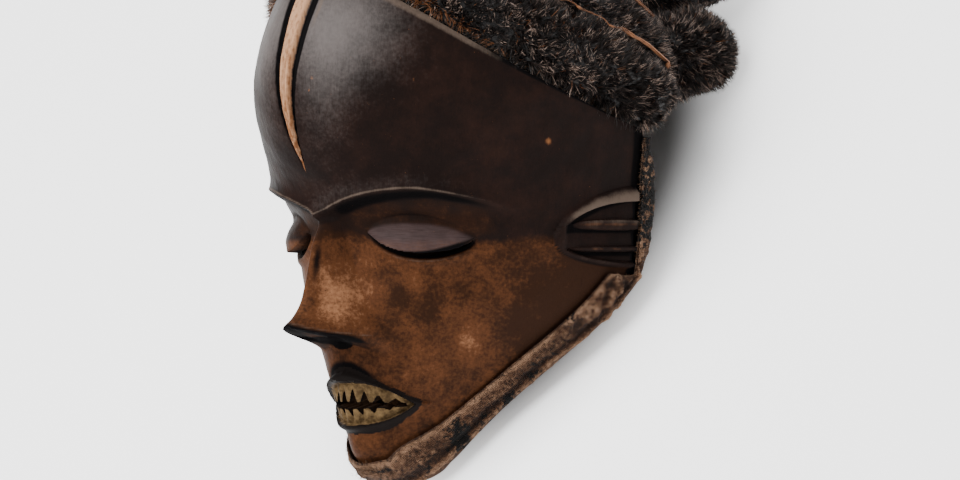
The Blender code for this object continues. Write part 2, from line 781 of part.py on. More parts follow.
def build_band(material):
    path = rim_path()
    clear = BAND_CLEARANCE / SHARE
    jaw_away = Vector((0, -JAW_SLOPE, -1)).normalized()
    back_away = Vector((0, 0, -1))
    vertices = []
    for angle, height in path:
        turned = np.array([angle])
        raised = np.array([height])
        outer = Vector(point(turned, raised, head_radius(turned, raised))[0])
        blend = smooth((-14.0 - height) / 12.0)
        away = (back_away.lerp(jaw_away, float(blend))).normalized()
        thick = BAND_THICKNESS / SHARE * (0.45 + 0.55 * float(blend))
        cover = (EAR_STRIP_DEPTH * (1 - float(blend)) + BAND_THICKNESS * float(blend)) / SHARE
        room = (-19.0 - height) / -jaw_away.y
        flap = max(min(BAND_FLAP / SHARE * 1.1, room), 1.2)
        inner_flap = BAND_INNER_FLAP / SHARE * (0.35 + 0.65 * float(blend))
        normal = facing(head_radius, outer)
        level = (away - normal * away.dot(normal)).normalized()
        inner = settle_on(inner_radius, outer - level * (1.0 * float(blend)))
        inner_normal = facing(inner_radius, inner)
        middle, middle_normal = walk(head_radius, outer, away, flap / 2)
        end, end_normal = walk(head_radius, outer, away, flap)
        deep, deep_normal = walk(inner_radius, inner, away, inner_flap)
        lift = clear + thick
        section = (
            end + end_normal * lift,
            middle + middle_normal * lift,
            outer + normal * lift,
            outer + level * cover + normal * (thick * 0.6),
            (outer + inner) / 2 + level * (cover * 1.12),
            inner + level * cover - inner_normal * (thick * 0.6),
            inner - inner_normal * lift,
            deep - deep_normal * lift,
            deep - deep_normal * clear,
            inner + level * (clear * 2.5) - inner_normal * clear,
            outer + level * (clear * 2.5) + normal * clear,
            middle + middle_normal * clear,
            end + end_normal * clear,
        )
        vertices += [tuple(spot) for spot in section]
    around = 13
    faces = []
    for station in range(len(path) - 1):
        for spot in range(around):
            after = (spot + 1) % around
            low = station * around
            faces.append((low + spot, low + after, low + around + after, low + around + spot))
    faces.append(tuple(range(around)))
    faces.append(tuple(range((len(path) - 1) * around, len(path) * around)))
    return mesh_object("rim_band", vertices, faces, material)


def lowest(made, tilt, keep):
    """Lowest level of the vertices that keep() picks, once the mask is tipped back."""
    spots = np.array([vertex.co[:] for vertex in made.data.vertices])
    spots = spots[keep(spots)]
    return float(np.min(spots[:, 1] * math.sin(tilt) + spots[:, 2] * math.cos(tilt)))


def resting_tilt(band, bun):
    """Tilt at which the chin band and the lower buns reach down equally far."""
    low, high = math.radians(15), math.radians(65)
    for _ in range(50):
        middle = (low + high) / 2
        chin = lowest(band, middle, lambda spots: spots[:, 1] < CHIN_PART)
        nape = lowest(bun, middle, lambda spots: spots[:, 2] < 10)
        if chin > nape:
            low = middle
        else:
            high = middle
    return (low + high) / 2


def flatten(made, level, tilt):
    """Cut off what lies under the floor, and close the cut with a flat face."""
    work = bmesh.new()
    work.from_mesh(made.data)
    up = Vector((0, math.sin(tilt), math.cos(tilt)))
    geometry = work.verts[:] + work.edges[:] + work.faces[:]
    cut = bmesh.ops.bisect_plane(work, geom=geometry, plane_co=up * level, plane_no=-up, clear_outer=True)
    edges = [item for item in cut["geom_cut"] if isinstance(item, bmesh.types.BMEdge)]
    bmesh.ops.holes_fill(work, edges=edges)
    bmesh.ops.recalc_face_normals(work, faces=work.faces)
    work.to_mesh(made.data)
    work.free()


def main():
    for item in list(bpy.data.objects):
        bpy.data.objects.remove(item, do_unlink=True)
    wood = paint("dark_wood", (0.085, 0.045, 0.028), 0.45)
    pile = paint("black_pile", (0.014, 0.011, 0.010), 0.9)
    raffia = paint("raffia", (0.42, 0.19, 0.08), 0.7)
    textile = paint("rim_textile", (0.13, 0.065, 0.038), 0.9)
    pieces = [carve_face(wood), build_cap(pile)]
    pieces += build_rolls(pile)
    buns = {}
    for word, side in (("left", 1), ("right", -1)):
        buns["lower_" + word] = build_bun(
            "wig_bun_lower_" + word, (side * 58, 91, -88), (side * 60, 88, -30), BUN_RADIUS / SHARE, pile
        )
        buns["upper_" + word] = build_bun(
            "wig_bun_upper_" + word, (side * 38, 137, -109), (side * 36, 128, -30), BUN_RADIUS * 1.15 / SHARE, pile
        )
    pieces += list(buns.values())
    for word, side in (("left", 1), ("right", -1)):
        pieces.append(build_stitch("raffia_stitch_front_" + word, ROLL_EDGES[1], side * 40, side * 62, raffia))
        pieces.append(build_stitch("raffia_stitch_back_" + word, ROLL_EDGES[2], side * 20, side * 44, raffia))
    band = build_band(textile)
    pieces.append(band)
    tilt = resting_tilt(band, buns["lower_left"])
    level = lowest(band, tilt, lambda spots: spots[:, 1] < CHIN_PART) + REST_FLAT
    for resting in (band, buns["lower_left"], buns["lower_right"]):
        flatten(resting, level, tilt)
    pose = bpy.data.objects.new("mask_pose", None)
    bpy.context.scene.collection.objects.link(pose)
    pose.rotation_euler = (tilt, 0, 0)
    spots = np.concatenate([[vertex.co[:] for vertex in made.data.vertices] for made in pieces])
    ahead = spots[:, 1] * math.cos(tilt) - spots[:, 2] * math.sin(tilt)
    pose.location = (0, -float(ahead.min() + ahead.max()) / 2, -level)
    for made in pieces:
        made.parent = pose
    bpy.context.view_layer.update()


if __name__ == "__main__":
    main()
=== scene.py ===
"""Looks of a carved hollow face mask with a pile wig, lying on its rim.

Every form is drawn face on in millimetres: X to the mask's left, Y to the crown, Z out of the face.
The resting pose then tips it back onto its chin band and its lower wig lobes, in metres.
"""

import json
import logging
import math
from dataclasses import dataclass, field
from enum import Enum
from typing import Any, Callable, Dict, List, Optional, Sequence, Tuple, Union

import bmesh
import bpy
import numpy as np
from mathutils import Euler, Matrix, Vector
from mathutils.kdtree import KDTree

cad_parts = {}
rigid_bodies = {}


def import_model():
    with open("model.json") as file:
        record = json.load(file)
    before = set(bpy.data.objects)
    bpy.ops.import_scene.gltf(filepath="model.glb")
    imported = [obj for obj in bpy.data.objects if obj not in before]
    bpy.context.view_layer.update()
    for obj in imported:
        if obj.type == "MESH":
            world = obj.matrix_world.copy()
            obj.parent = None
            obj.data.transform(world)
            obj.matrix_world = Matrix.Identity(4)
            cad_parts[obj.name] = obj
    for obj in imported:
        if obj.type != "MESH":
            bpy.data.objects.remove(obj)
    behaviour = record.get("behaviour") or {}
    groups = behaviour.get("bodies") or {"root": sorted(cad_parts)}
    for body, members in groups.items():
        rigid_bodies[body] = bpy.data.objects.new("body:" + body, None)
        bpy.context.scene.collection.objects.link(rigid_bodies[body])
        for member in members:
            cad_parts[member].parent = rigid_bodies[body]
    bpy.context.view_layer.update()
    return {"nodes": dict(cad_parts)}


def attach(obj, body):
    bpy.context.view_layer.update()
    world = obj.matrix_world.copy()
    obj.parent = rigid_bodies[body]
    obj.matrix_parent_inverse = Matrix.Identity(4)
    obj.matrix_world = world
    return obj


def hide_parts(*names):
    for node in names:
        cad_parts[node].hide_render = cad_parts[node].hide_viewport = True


LOG = logging.getLogger("mask")
Table = Tuple[Tuple[float, ...], ...]
Rule = Callable[[np.ndarray, np.ndarray], np.ndarray]

# Corners of the four sides of a fibre's spike
SPIKE_SIDES = ((0, 1, 3), (1, 2, 3), (2, 0, 3), (2, 1, 0))

# Lighter and darker patches of the warm wood, partly its own tone and partly painted highlight and shade:
# lean, height, size and gain
WARM_TONE_AND_LIGHT_PATCHES: Table = (
    (-95, -28, 15, 0.62), (-112, -34, 12, 0.9), (-118, -18, 8, 0.5), (-16, -52, 8, 0.7),
    (-74, -6, 10, 0.35), (41, -8, 9, 0.6), (-46, -64, 14, 0.30), (-95, -95, 12, 0.3),
    (-55, -22, 8, 0.35), (20, -20, 12, 0.25), (-64, -30, 8, -0.4), (-44, -38, 9, -0.4),
    (18, -47, 10, -0.3), (-70, -43, 7, -0.3), (28, -26, 7, -0.2), (-20, -30, 6, -0.2),
    (60, -20, 7, -0.3),
)

# Chips down to bare wood on the left half: lean, height and size
BARE_CHIPS: Table = (
    (39, 46, 2.6), (-54, 76, 1.0), (-125, 77, 1.2), (-127, 71, 0.9), (-134, 101, 2.2),
)

# Black stains on the band: lean, height, size and gain
STAIN_PATCHES: Table = (
    (-23, -100, 8, 0.8), (12, -84, 6, 0.7), (-6, -92, 5, 0.4), (30, -68, 6, 0.45), (55, -40, 7, 0.35),
    (62, -24, 8, 0.4), (-46, -112, 6, 0.4), (-75, -116, 5, 0.35), (44, -56, 4, 0.4),
)


def smooth(value: Any) -> Any:
    """Ease a value from 0 to 1, flat at both ends."""
    value = np.clip(value, 0.0, 1.0)
    return value * value * (3 - 2 * value)


def bump_at(value: Any, centre: float, width: float) -> Any:
    """A bell of height 1 about a centre."""
    return np.exp(-(((value - centre) / width) ** 2))


def ripple(spots: np.ndarray, wavelength: float, seed: int, waves: int = 14) -> np.ndarray:
    """Smooth random field from a few seeded plane waves.

    Args:
        spots: Points, one to a row.
        wavelength: Typical distance from crest to crest, in the unit of the points.
        seed: Picks one field out of many.
        waves: How many plane waves are summed.

    Returns:
        One value a point, mostly between -1 and 1.
    """
    rng = np.random.default_rng(seed)
    total = np.zeros(spots.shape[:-1])
    for _ in range(waves):
        way = rng.normal(size=3)
        way /= np.linalg.norm(way)
        reach = 2 * math.pi / (wavelength * rng.uniform(0.7, 1.6))
        total += np.sin(spots @ way * reach + rng.uniform(0, 2 * math.pi))
    return total / math.sqrt(waves / 2) / 1.6


def unit(vectors: np.ndarray) -> np.ndarray:
    """Vectors of length 1 in the same directions."""
    return vectors / np.maximum(np.linalg.norm(vectors, axis=-1, keepdims=True), 1e-12)


def along(table: Table, column: int, height: np.ndarray) -> np.ndarray:
    """Smooth curve through one column of a table.

    Args:
        table: Rows that start with the value they are ordered by.
        column: Which value of a row to follow.
        height: Where to read the curve.

    Returns:
        The curve's values at those heights.
    """
    rows = sorted(table)
    knots = np.array([row[0] for row in rows], float)
    values = np.array([row[column] for row in rows], float)
    slopes = np.gradient(values, knots)
    height = np.clip(height, knots[0], knots[-1])
    index = np.clip(np.searchsorted(knots, height, side="right") - 1, 0, len(knots) - 2)
    step = knots[index + 1] - knots[index]
    part = (height - knots[index]) / step
    square = part * part
    cube = square * part
    return (
        (2 * cube - 3 * square + 1) * values[index]
        + (cube - 2 * square + part) * step * slopes[index]
        + (3 * square - 2 * cube) * values[index + 1]
        + (cube - square) * step * slopes[index + 1]
    )


def select_only(target: bpy.types.Object) -> None:
    """Make one object the selected and active one."""
    bpy.ops.object.select_all(action="DESELECT")
    target.select_set(True)
    bpy.context.view_layer.objects.active = target


def apply_modifiers(target: bpy.types.Object) -> None:
    """Apply every modifier of an object, first to last."""
    select_only(target)
    for name in [modifier.name for modifier in target.modifiers]:
        bpy.ops.object.modifier_apply(modifier=name)


def read_spots(target: bpy.types.Object) -> np.ndarray:
    """The vertices of an object as rows of an array."""
    flat = np.empty(len(target.data.vertices) * 3, np.float64)
    target.data.vertices.foreach_get("co", flat)
    return flat.reshape(-1, 3)


def write_spots(target: bpy.types.Object, spots: np.ndarray) -> None:
    """Move the vertices of an object to new places."""
    target.data.vertices.foreach_set("co", np.ascontiguousarray(spots, np.float32).ravel())
    target.data.update()


def mesh_piece(name: str, spots: np.ndarray, faces: Sequence[Sequence[int]]) -> bpy.types.Object:
    """A new object from points and faces.

    Args:
        name: Name of the piece.
        spots: Its points, one to a row.
        faces: Point numbers round each face.

    Returns:
        The object, linked to the scene.
    """
    mesh = bpy.data.meshes.new(name)
    mesh.from_pydata([], [], [])
    mesh.vertices.add(len(spots))
    mesh.vertices.foreach_set("co", np.ascontiguousarray(spots, np.float32).ravel())
    sizes = np.array([len(face) for face in faces], np.int32)
    mesh.loops.add(int(sizes.sum()))
    mesh.loops.foreach_set("vertex_index", np.concatenate([np.asarray(face, np.int32) for face in faces]))
    mesh.polygons.add(len(faces))
    mesh.polygons.foreach_set("loop_start", np.concatenate(([0], np.cumsum(sizes)[:-1])).astype(np.int32))
    mesh.update(calc_edges=True)
    mesh.validate()
    made = bpy.data.objects.new(name, mesh)
    bpy.context.scene.collection.objects.link(made)
    return made


def join(first: bpy.types.Object, others: Sequence[bpy.types.Object]) -> bpy.types.Object:
    """Join other objects into the first one."""
    bpy.ops.object.select_all(action="DESELECT")
    for other in others:
        other.select_set(True)
    first.select_set(True)
    bpy.context.view_layer.objects.active = first
    bpy.ops.object.join()
    return first


def store(target: bpy.types.Object, name: str, values: np.ndarray) -> None:
    """Keep one number for each vertex as an attribute that a material can read."""
    layer = target.data.attributes.new(name, "FLOAT", "POINT")
    layer.data.foreach_set("value", np.ascontiguousarray(values, np.float32))


@dataclass(frozen=True)
class RestingPose:
    """How the drawn mask lies: tipped back, then set down."""

    tilt: float = 0.6667962670326233
    place: Tuple[float, float, float] = (0.0, -0.02497364766895771, 0.030999820679426193)

    def matrix(self) -> np.ndarray:
        """Turn from the drawn axes to the lying ones."""
        return np.array(Matrix.Rotation(self.tilt, 3, "X"))

    def lay(self, drawn: np.ndarray) -> np.ndarray:
        """Drawn millimetres to lying metres."""
        return (drawn / 1000) @ self.matrix().T + np.array(self.place)

    def lift(self, lying: np.ndarray) -> np.ndarray:
        """Lying metres to drawn millimetres."""
        return (lying - np.array(self.place)) @ self.matrix() * 1000


POSE = RestingPose()


@dataclass
class HeadForm:
    """The plain head under the carving, as distances from an upright axis."""

    sections: Table = (
        (-124, 62, 0.060, 56),
        (-118, 80, 0.050, 62),
        (-110, 90, 0.044, 66),
        (-98, 95, 0.036, 72),
        (-84, 99, 0.028, 82),
        (-70, 102.5, 0.021, 90),
        (-55, 104.5, 0.0155, 95),
        (-36, 107, 0.0112, 99),
        (-18, 107, 0.0093, 101),
        (0, 110, 0.0086, 102),
        (10, 115, 0.0090, 103),
        (22, 123, 0.0098, 104.5),
        (45, 137, 0.0106, 107),
        (72, 144, 0.0108, 107.5),
        (95, 140.5, 0.0118, 106),
        (117, 131, 0.0130, 104),
        (140, 112, 0.0150, 98),
    )
    wall: float = 10.0
    pivot_y: float = 50.0
    pivot_z: float = -8.0
    back_angle: float = math.radians(92)
    jaw_slope: float = 0.71
    jaw_anchor_y: float = -17.0
    jaw_anchor_z: float = -5.0
    chin_floor: float = -120.0
    hair_bearing: float = 31.0
    hair_drop: float = 11.4

    def radius(self, angle: np.ndarray, height: np.ndarray) -> np.ndarray:
        """Distance of the plain head from its axis, at a bearing and a height."""
        depth = along(self.sections, 1, height)
        recede = along(self.sections, 2, height)
        width = along(self.sections, 3, height)
        sine = np.abs(np.sin(angle))
        cosine = np.cos(angle)
        front = 2 * depth / (cosine + np.sqrt(cosine**2 + 4 * recede * depth * sine**2))
        side = width / np.maximum(sine, 0.05)
        return (front**-8.0 + side**-8.0) ** (-1 / 8.0)

    def inner_radius(self, angle: np.ndarray, height: np.ndarray) -> np.ndarray:
        """Distance of the hollow's wall from the axis."""
        plain = self.radius(angle, np.maximum(height, -112))
        fall = 1 - smooth((-106 - height) / 16) * 0.12
        return plain * fall - self.wall

    def hairline(self, x: np.ndarray) -> np.ndarray:
        """Bearing of the hairline about the ear-to-ear pivot, in radians."""
        return np.radians(self.hair_bearing - self.hair_drop * np.clip(np.abs(x) / 104, 0, 1) ** 2.2)

    def jaw_plane(self, height: np.ndarray) -> np.ndarray:
        """Depth at which the wood ends along the jaw, at a height."""
        return self.jaw_anchor_z - self.jaw_slope * (height - self.jaw_anchor_y)

    def over_hairline(self, spots: np.ndarray) -> np.ndarray:
        """Degrees by which points lie past the hairline."""
        bearing = np.arctan2(spots[:, 1] - self.pivot_y, np.maximum(spots[:, 2] - self.pivot_z, 0.3))
        return np.degrees(bearing - self.hairline(spots[:, 0]))

    def ends(self, angle: np.ndarray, rule: Rule, floor: float) -> Tuple[np.ndarray, np.ndarray]:
        """Heights between which the wood runs, found by halving.

        Args:
            angle: Bearings.
            rule: Distance from the axis, from bearings and heights.
            floor: Lowest height looked at.

        Returns:
            The lowest and the highest height at each bearing.
        """
        low = np.full_like(angle, floor)
        low_end = np.zeros_like(angle)
        high = np.full_like(angle, 40.0)
        high_end = np.full_like(angle, 138.0)
        for _ in range(34):
            middle = (low + low_end) / 2
            behind = rule(angle, middle) * np.cos(angle) < self.jaw_plane(middle)
            low = np.where(behind, middle, low)
            low_end = np.where(behind, low_end, middle)
            middle = (high + high_end) / 2
            radius = rule(angle, middle)
            ahead = np.maximum(radius * np.cos(angle) - self.pivot_z, 0.3)
            bearing = np.arctan2(middle - self.pivot_y, ahead)
            past = bearing > self.hairline(radius * np.sin(angle))
            high_end = np.where(past, middle, high_end)
            high = np.where(past, high, middle)
        return (low + low_end) / 2, (high + high_end) / 2

    @staticmethod
    def spot(angle: np.ndarray, height: np.ndarray, radius: np.ndarray) -> np.ndarray:
        """Point at a bearing, a height and a distance from the axis."""
        return np.stack((radius * np.sin(angle), height, radius * np.cos(angle)), axis=-1)

    def facing(self, rule: Rule, spots: np.ndarray) -> np.ndarray:
        """Outward directions of a surface at points near it."""
        angle = np.arctan2(spots[:, 0], spots[:, 2])
        height = spots[:, 1]
        here = self.spot(angle, height, rule(angle, height))
        turned = self.spot(angle + 0.01, height, rule(angle + 0.01, height))
        raised = self.spot(angle, height + 0.6, rule(angle, height + 0.6))
        normal = unit(np.cross(raised - here, turned - here))
        outward = np.sum(normal * spots * np.array((1, 0, 1)), axis=1)
        return normal * np.where(outward > 0, 1.0, -1.0)[:, None]

    def settle(self, rule: Rule, spots: np.ndarray) -> np.ndarray:
        """Points moved onto a surface."""
        angle = np.arctan2(spots[:, 0], spots[:, 2])
        return self.spot(angle, spots[:, 1], rule(angle, spots[:, 1]))

    def walk(
        self, rule: Rule, spots: np.ndarray, away: np.ndarray, distance: np.ndarray
    ) -> Tuple[np.ndarray, np.ndarray]:
        """Go a distance over a surface, against a direction.

        Args:
            rule: Distance from the axis, from bearings and heights.
            spots: Where the walk starts.
            away: The direction that the walk turns its back on.
            distance: How far to go at each point.

        Returns:
            The points reached, and the outward directions there.
        """
        for _ in range(6):
            normal = self.facing(rule, spots)
            level = unit(away - normal * np.sum(away * normal, axis=1)[:, None])
            spots = self.settle(rule, spots - level * (distance / 6)[:, None])
        return spots, self.facing(rule, spots)


HEAD = HeadForm()


@dataclass
class FaceCarving:
    """What is carved into the head: brow, nose, lids, mouth, ears and the forehead strip."""

    nose: Table = (
        (16, 0, 6),
        (7, 6, 7),
        (-3, 15, 8.5),
        (-13, 19.5, 10.5),
        (-25, 22.5, 13.5),
        (-35, 26, 18),
        (-41, 31, 21.5),
        (-46, 38, 24),
        (-60, 38, 24),
    )
    nose_base: float = -44.5
    eye_x: float = 41.8
    eye_y: float = 1.8
    eye_half: float = 21.5
    eye_slit: float = 2.4
    mouth_y: float = -83.5
    mouth_outer: float = 30.5
    mouth_inner: float = 27.0
    teeth: int = 8
    ear_front: float = 42.0
    ear_back: float = -4.0
    ear_raise: float = 6.0
    ear_rim: float = 3.3
    ear_bed: float = 2.1
    ear_bars: Table = ((4.9, 2.7), (-6.9, 1.35))
    groove_foot: float = 30.0
    groove_head: float = 117.0

    def brow_gap(self, x: np.ndarray, y: np.ndarray) -> np.ndarray:
        """How far points lie over the crest of the brow."""
        across = np.abs(x)
        inner = 12.8 * np.abs((50 - across) / 50) ** 1.8
        outer = 7.4 * np.abs((across - 50) / 23) ** 1.7
        return y - (22.6 - np.where(across < 50, inner, outer))

    def brow(self, x: np.ndarray, y: np.ndarray) -> np.ndarray:
        """Swell of the brow, with a sharp lower edge."""
        above = self.brow_gap(x, y)
        crest = np.where(above > 0, np.exp(-np.maximum(above, 0) / 7.5), np.exp(-np.abs(above / 2.4) ** 1.9))
        return 6.2 * crest * (1 - smooth((np.abs(x) - 54) / 26))

    def nose_share(self, x: np.ndarray, y: np.ndarray) -> np.ndarray:
        """Sideways distance in half widths of the nose."""
        return np.abs(x) / along(self.nose, 2, y)

    def nose_swell(self, x: np.ndarray, y: np.ndarray) -> np.ndarray:
        """Wedge of the nose, cut off under its wings."""
        share = self.nose_share(x, y)
        blunt = 0.16
        wedge = 1 - (np.sqrt(share**2 + blunt**2) - blunt) / (math.sqrt(1 + blunt**2) - blunt)
        wedge = np.where(wedge > 0.12, wedge, 0.12 * np.exp(np.minimum(wedge - 0.12, 0) / 0.12))
        wedge = wedge * (1 - smooth((share - 1.0) / 0.5))
        under = smooth((self.nose_base - 0.30 * np.abs(x) - y) / 8.0)
        return along(self.nose, 1, y) * wedge * (1 - under)

    def eye_edges(self, x: np.ndarray) -> Tuple[np.ndarray, np.ndarray, np.ndarray]:
        """Share across an eye, then the heights of its upper and lower lid line."""
        part = (np.abs(x) - self.eye_x) / self.eye_half
        middle = self.eye_y - 1.6 * (part + 1)
        arch = np.maximum(1 - part**2, 0) ** 0.8
        return part, middle + 9.2 * arch, middle - 9.0 * arch

    def eyes(self, x: np.ndarray, y: np.ndarray) -> np.ndarray:
        """Swollen lids over a slit with a thin rim beneath."""
        part, top, bottom = self.eye_edges(x)
        window = np.sqrt(np.maximum(1 - part**2, 0))
        level = (y - bottom) / np.maximum(top - bottom, 0.5)
        lid = 6.8 * window**1.35 * smooth((1 - level) / 0.75) * (level >= 0)
        crease = -0.7 * window * bump_at(y - top, 0.6, 0.9)
        below = bottom - y
        rim = 1.6 * window * bump_at(below, 4.4, 2.0) * (below > 0)
        slit = -2.0 * window * (below > 0) * (1 - smooth((below - 2.0) / 1.4))
        socket = -1.8 * np.exp(-(((y - 9.5) / 4.5) ** 2) - (part / 1.1) ** 4)
        return lid + crease + rim + slit + socket

    def mouth_edges(self, x: np.ndarray) -> Tuple[np.ndarray, np.ndarray, np.ndarray, np.ndarray]:
        """Heights of the outer and inner edges of the lips: outer top, outer low, inner top, inner low."""
        outer = np.abs(x) / self.mouth_outer
        inner = np.abs(x) / self.mouth_inner
        outer_top = self.mouth_y + 20 * np.maximum(1 - outer, 0) ** 0.75 - 2.0 * bump_at(x, 0, 4.5)
        outer_low = self.mouth_y - 14.5 * np.maximum(1 - outer**2.6, 0) ** 0.9
        inner_top = self.mouth_y + 11.2 * np.maximum(1 - inner**3.4, 0)
        inner_low = self.mouth_y - 10.8 * np.maximum(1 - inner**2.8, 0)
        return outer_top, outer_low, inner_top, inner_low

    def tooth_wave(self, x: np.ndarray, y: np.ndarray) -> np.ndarray:
        """Roundness of the teeth: 1 at the middle of a tooth, 0 between two."""
        step = self.mouth_inner * 0.88 / self.teeth
        turn = (x / step + self.teeth) * math.pi / 2
        upper = np.abs(np.cos(turn))
        lower = np.abs(np.sin(turn))
        blend = smooth((y - self.mouth_y + 1.5) / 2)
        return upper * blend + lower * (1 - blend)

    def mouth(self, x: np.ndarray, y: np.ndarray) -> np.ndarray:
        """Lips that stand over two sunk rows of teeth."""
        outer_top, outer_low, inner_top, inner_low = self.mouth_edges(x)
        upper = (y - inner_top) / np.maximum(outer_top - inner_top, 1.2)
        lower = (inner_low - y) / np.maximum(inner_low - outer_low, 1.2)
        level = np.where(y > self.mouth_y, upper, lower)
        swell = 1 - smooth((np.abs(x) - 20) / 20)
        lip = 3.6 * (1 - smooth((level - 0.30) / 0.70)) * (0.45 + 0.55 * swell) * (level >= 0)
        lip = lip * smooth((self.mouth_outer - np.abs(x)) / 2.0 + 0.5)
        opening = (level < 0) & (np.abs(x) < self.mouth_inner)
        step = np.minimum(inner_top - y, y - inner_low)
        bed = -0.9 * smooth(step / 1.6) + 3.6 * (1 - smooth(step / 1.2)) * 0.7
        bed = bed + 1.3 * swell * smooth(step / 3.0)
        tooth = 1.7 * (self.tooth_wave(x, y) - 0.75) * smooth((step - 1.2) / 2)
        return np.where(opening, bed + tooth, lip)

    def strip(self, x: np.ndarray, y: np.ndarray) -> Tuple[np.ndarray, np.ndarray]:
        """Half width of the forehead strip, and the sideways distance in half widths."""
        rise = np.clip((self.groove_head - y) / (self.groove_head - self.groove_foot), 0, 1)
        half = np.maximum(9.8 * (1 - rise**1.7), 0.01)
        return half, np.abs(x) / half

    def groove(self, x: np.ndarray, y: np.ndarray) -> np.ndarray:
        """Long spearhead on the forehead: a ridge between two cut beds."""
        half, across = self.strip(x, y)
        ridge = 1.0 * (1 - smooth((across - 0.30) / 0.28))
        bed = -2.0 * (1 - smooth((across - 0.86) / 0.2)) * smooth((across - 0.40) / 0.2)
        return (ridge + bed) * smooth(half / 3.0) * (y > self.groove_foot)

    def ear_edges(self, z: np.ndarray) -> Tuple[np.ndarray, np.ndarray, np.ndarray]:
        """Share from front to back of an ear, then the heights of its top and foot."""
        share = (self.ear_front - z) / (self.ear_front - self.ear_back)
        front = np.maximum(1 - (1 - np.clip(share, 0, 1)) ** 2, 0)
        return share, -1 + 24.8 * front**0.62, -1 - 15.6 * front**0.40

    def ear_masks(self, z: np.ndarray, y: np.ndarray) -> Tuple[np.ndarray, np.ndarray, np.ndarray]:
        """Where an ear stands up and where it is hollowed.

        Args:
            z: Depths of the points.
            y: Heights of the points.

        Returns:
            How high the ear stands, how much of that is reached, and how hollow it is there.
        """
        share, top, foot = self.ear_edges(z)
        stand = self.ear_raise * (0.45 + 0.55 * np.clip(share, 0, 1))
        end = self.ear_back + 3.4
        edge = np.minimum(np.minimum(top - y, y - foot), np.minimum((self.ear_front - z) * 1.2, z - end))
        bevel = 3.4 + 3.6 * smooth(share)
        edge = np.where(y > 4, np.minimum(edge, (top - y) * 1.45 / bevel), edge)
        body = smooth(edge / 1.6 + 0.4) * 0.5 + 0.5 * np.clip(edge / 1.6 + 0.15, 0, 1)
        inside = np.minimum(top - bevel - y, y - foot - self.ear_rim * 0.8)
        inside = np.minimum(inside, self.ear_front - self.ear_rim * 1.5 - z)
        hollow = smooth(inside / 1.0 + 0.3)
        reach = smooth((37 - z) / 7)
        for middle, half in self.ear_bars:
            bulge = 1 - 0.45 * ((z - 12) / 22) ** 2
            bar = half * reach * bulge - np.abs(y - middle)
            hollow = hollow * (1 - smooth(bar / 0.8 + 0.5) * reach)
        return stand, body, hollow

    def ears(self, plain: np.ndarray, angle: np.ndarray, y: np.ndarray) -> np.ndarray:
        """Raised half ovals on the sides, each with two bars between three hollows."""
        z = plain * np.cos(angle)
        stand, body, hollow = self.ear_masks(z, y)
        step = 1.3 * smooth((3.0 - y) / 8.5) * (y > -6.9) + 1.3 * smooth((-8.0 - y) / 5.0)
        step = step + 1.0 * smooth((19 - y) / 11) * (y > 5)
        floor = np.minimum(self.ear_bed - 1.2 + step, stand)
        return (stand * body - (stand - floor) * hollow * body) * (np.abs(angle) > 0.9)

    def radius(self, angle: np.ndarray, height: np.ndarray) -> np.ndarray:
        """Carved face without its ears: distance from the axis."""
        plain = HEAD.radius(angle, height)
        x = plain * np.sin(angle)
        return (
            plain
            + self.brow(x, height)
            + self.nose_swell(x, height)
            + self.eyes(x, height)
            + self.mouth(x, height)
            + self.groove(x, height)
        )

    def full_radius(self, angle: np.ndarray, height: np.ndarray) -> np.ndarray:
        """Carved face with its ears and the faint flats that the knife left."""
        plain = HEAD.radius(angle, height)
        spots = HEAD.spot(angle, height, plain)
        flats = 0.16 * ripple(spots, 17, 5) + 0.05 * ripple(spots, 5.5, 8)
        return self.radius(angle, height) + self.ears(plain, angle, height) + flats


CARVING = FaceCarving()


@dataclass
class WigForm:
    """The wig as bearings about an ear-to-ear pivot."""

    front: float = 147.0
    decay: float = 0.0068
    half: float = 94.0
    end: float = math.radians(86)
    taper: float = 1.8
    fullness: float = 0.66
    nape: float = 150.0
    cap_thickness: float = 3.5
    seat: float = 1.0
    roll_height: float = 13.5
    roll_bearing: float = math.radians(26)

    def spot(self, tilt: np.ndarray, bearing: np.ndarray, lift: np.ndarray) -> np.ndarray:
        """Point of the wig.

        Args:
            tilt: Turn from the middle plane.
            bearing: Turn about the pivot.
            lift: Height over the lining.

        Returns:
            The points, one to a row.
        """
        reach = self.front * np.exp(-self.decay * (np.degrees(bearing) - HEAD.hair_bearing)) + lift
        share = np.clip(np.abs(np.sin(tilt)), 0, 1)
        reach = reach * (1 - share**self.taper) ** self.fullness
        return np.stack(
            (
                (self.half + lift) * np.sin(tilt),
                HEAD.pivot_y + reach * np.sin(bearing),
                HEAD.pivot_z + reach * np.cos(bearing),
            ),
            axis=-1,
        )

    def above_hairline(self, spots: np.ndarray) -> np.ndarray:
        """Height of points over the plane that the rolls lie along."""
        turn = self.roll_bearing + math.pi / 2
        height = spots[..., 1] - HEAD.pivot_y
        depth = spots[..., 2] - HEAD.pivot_z
        return height * math.sin(turn) + depth * math.cos(turn)


WIG = WigForm()


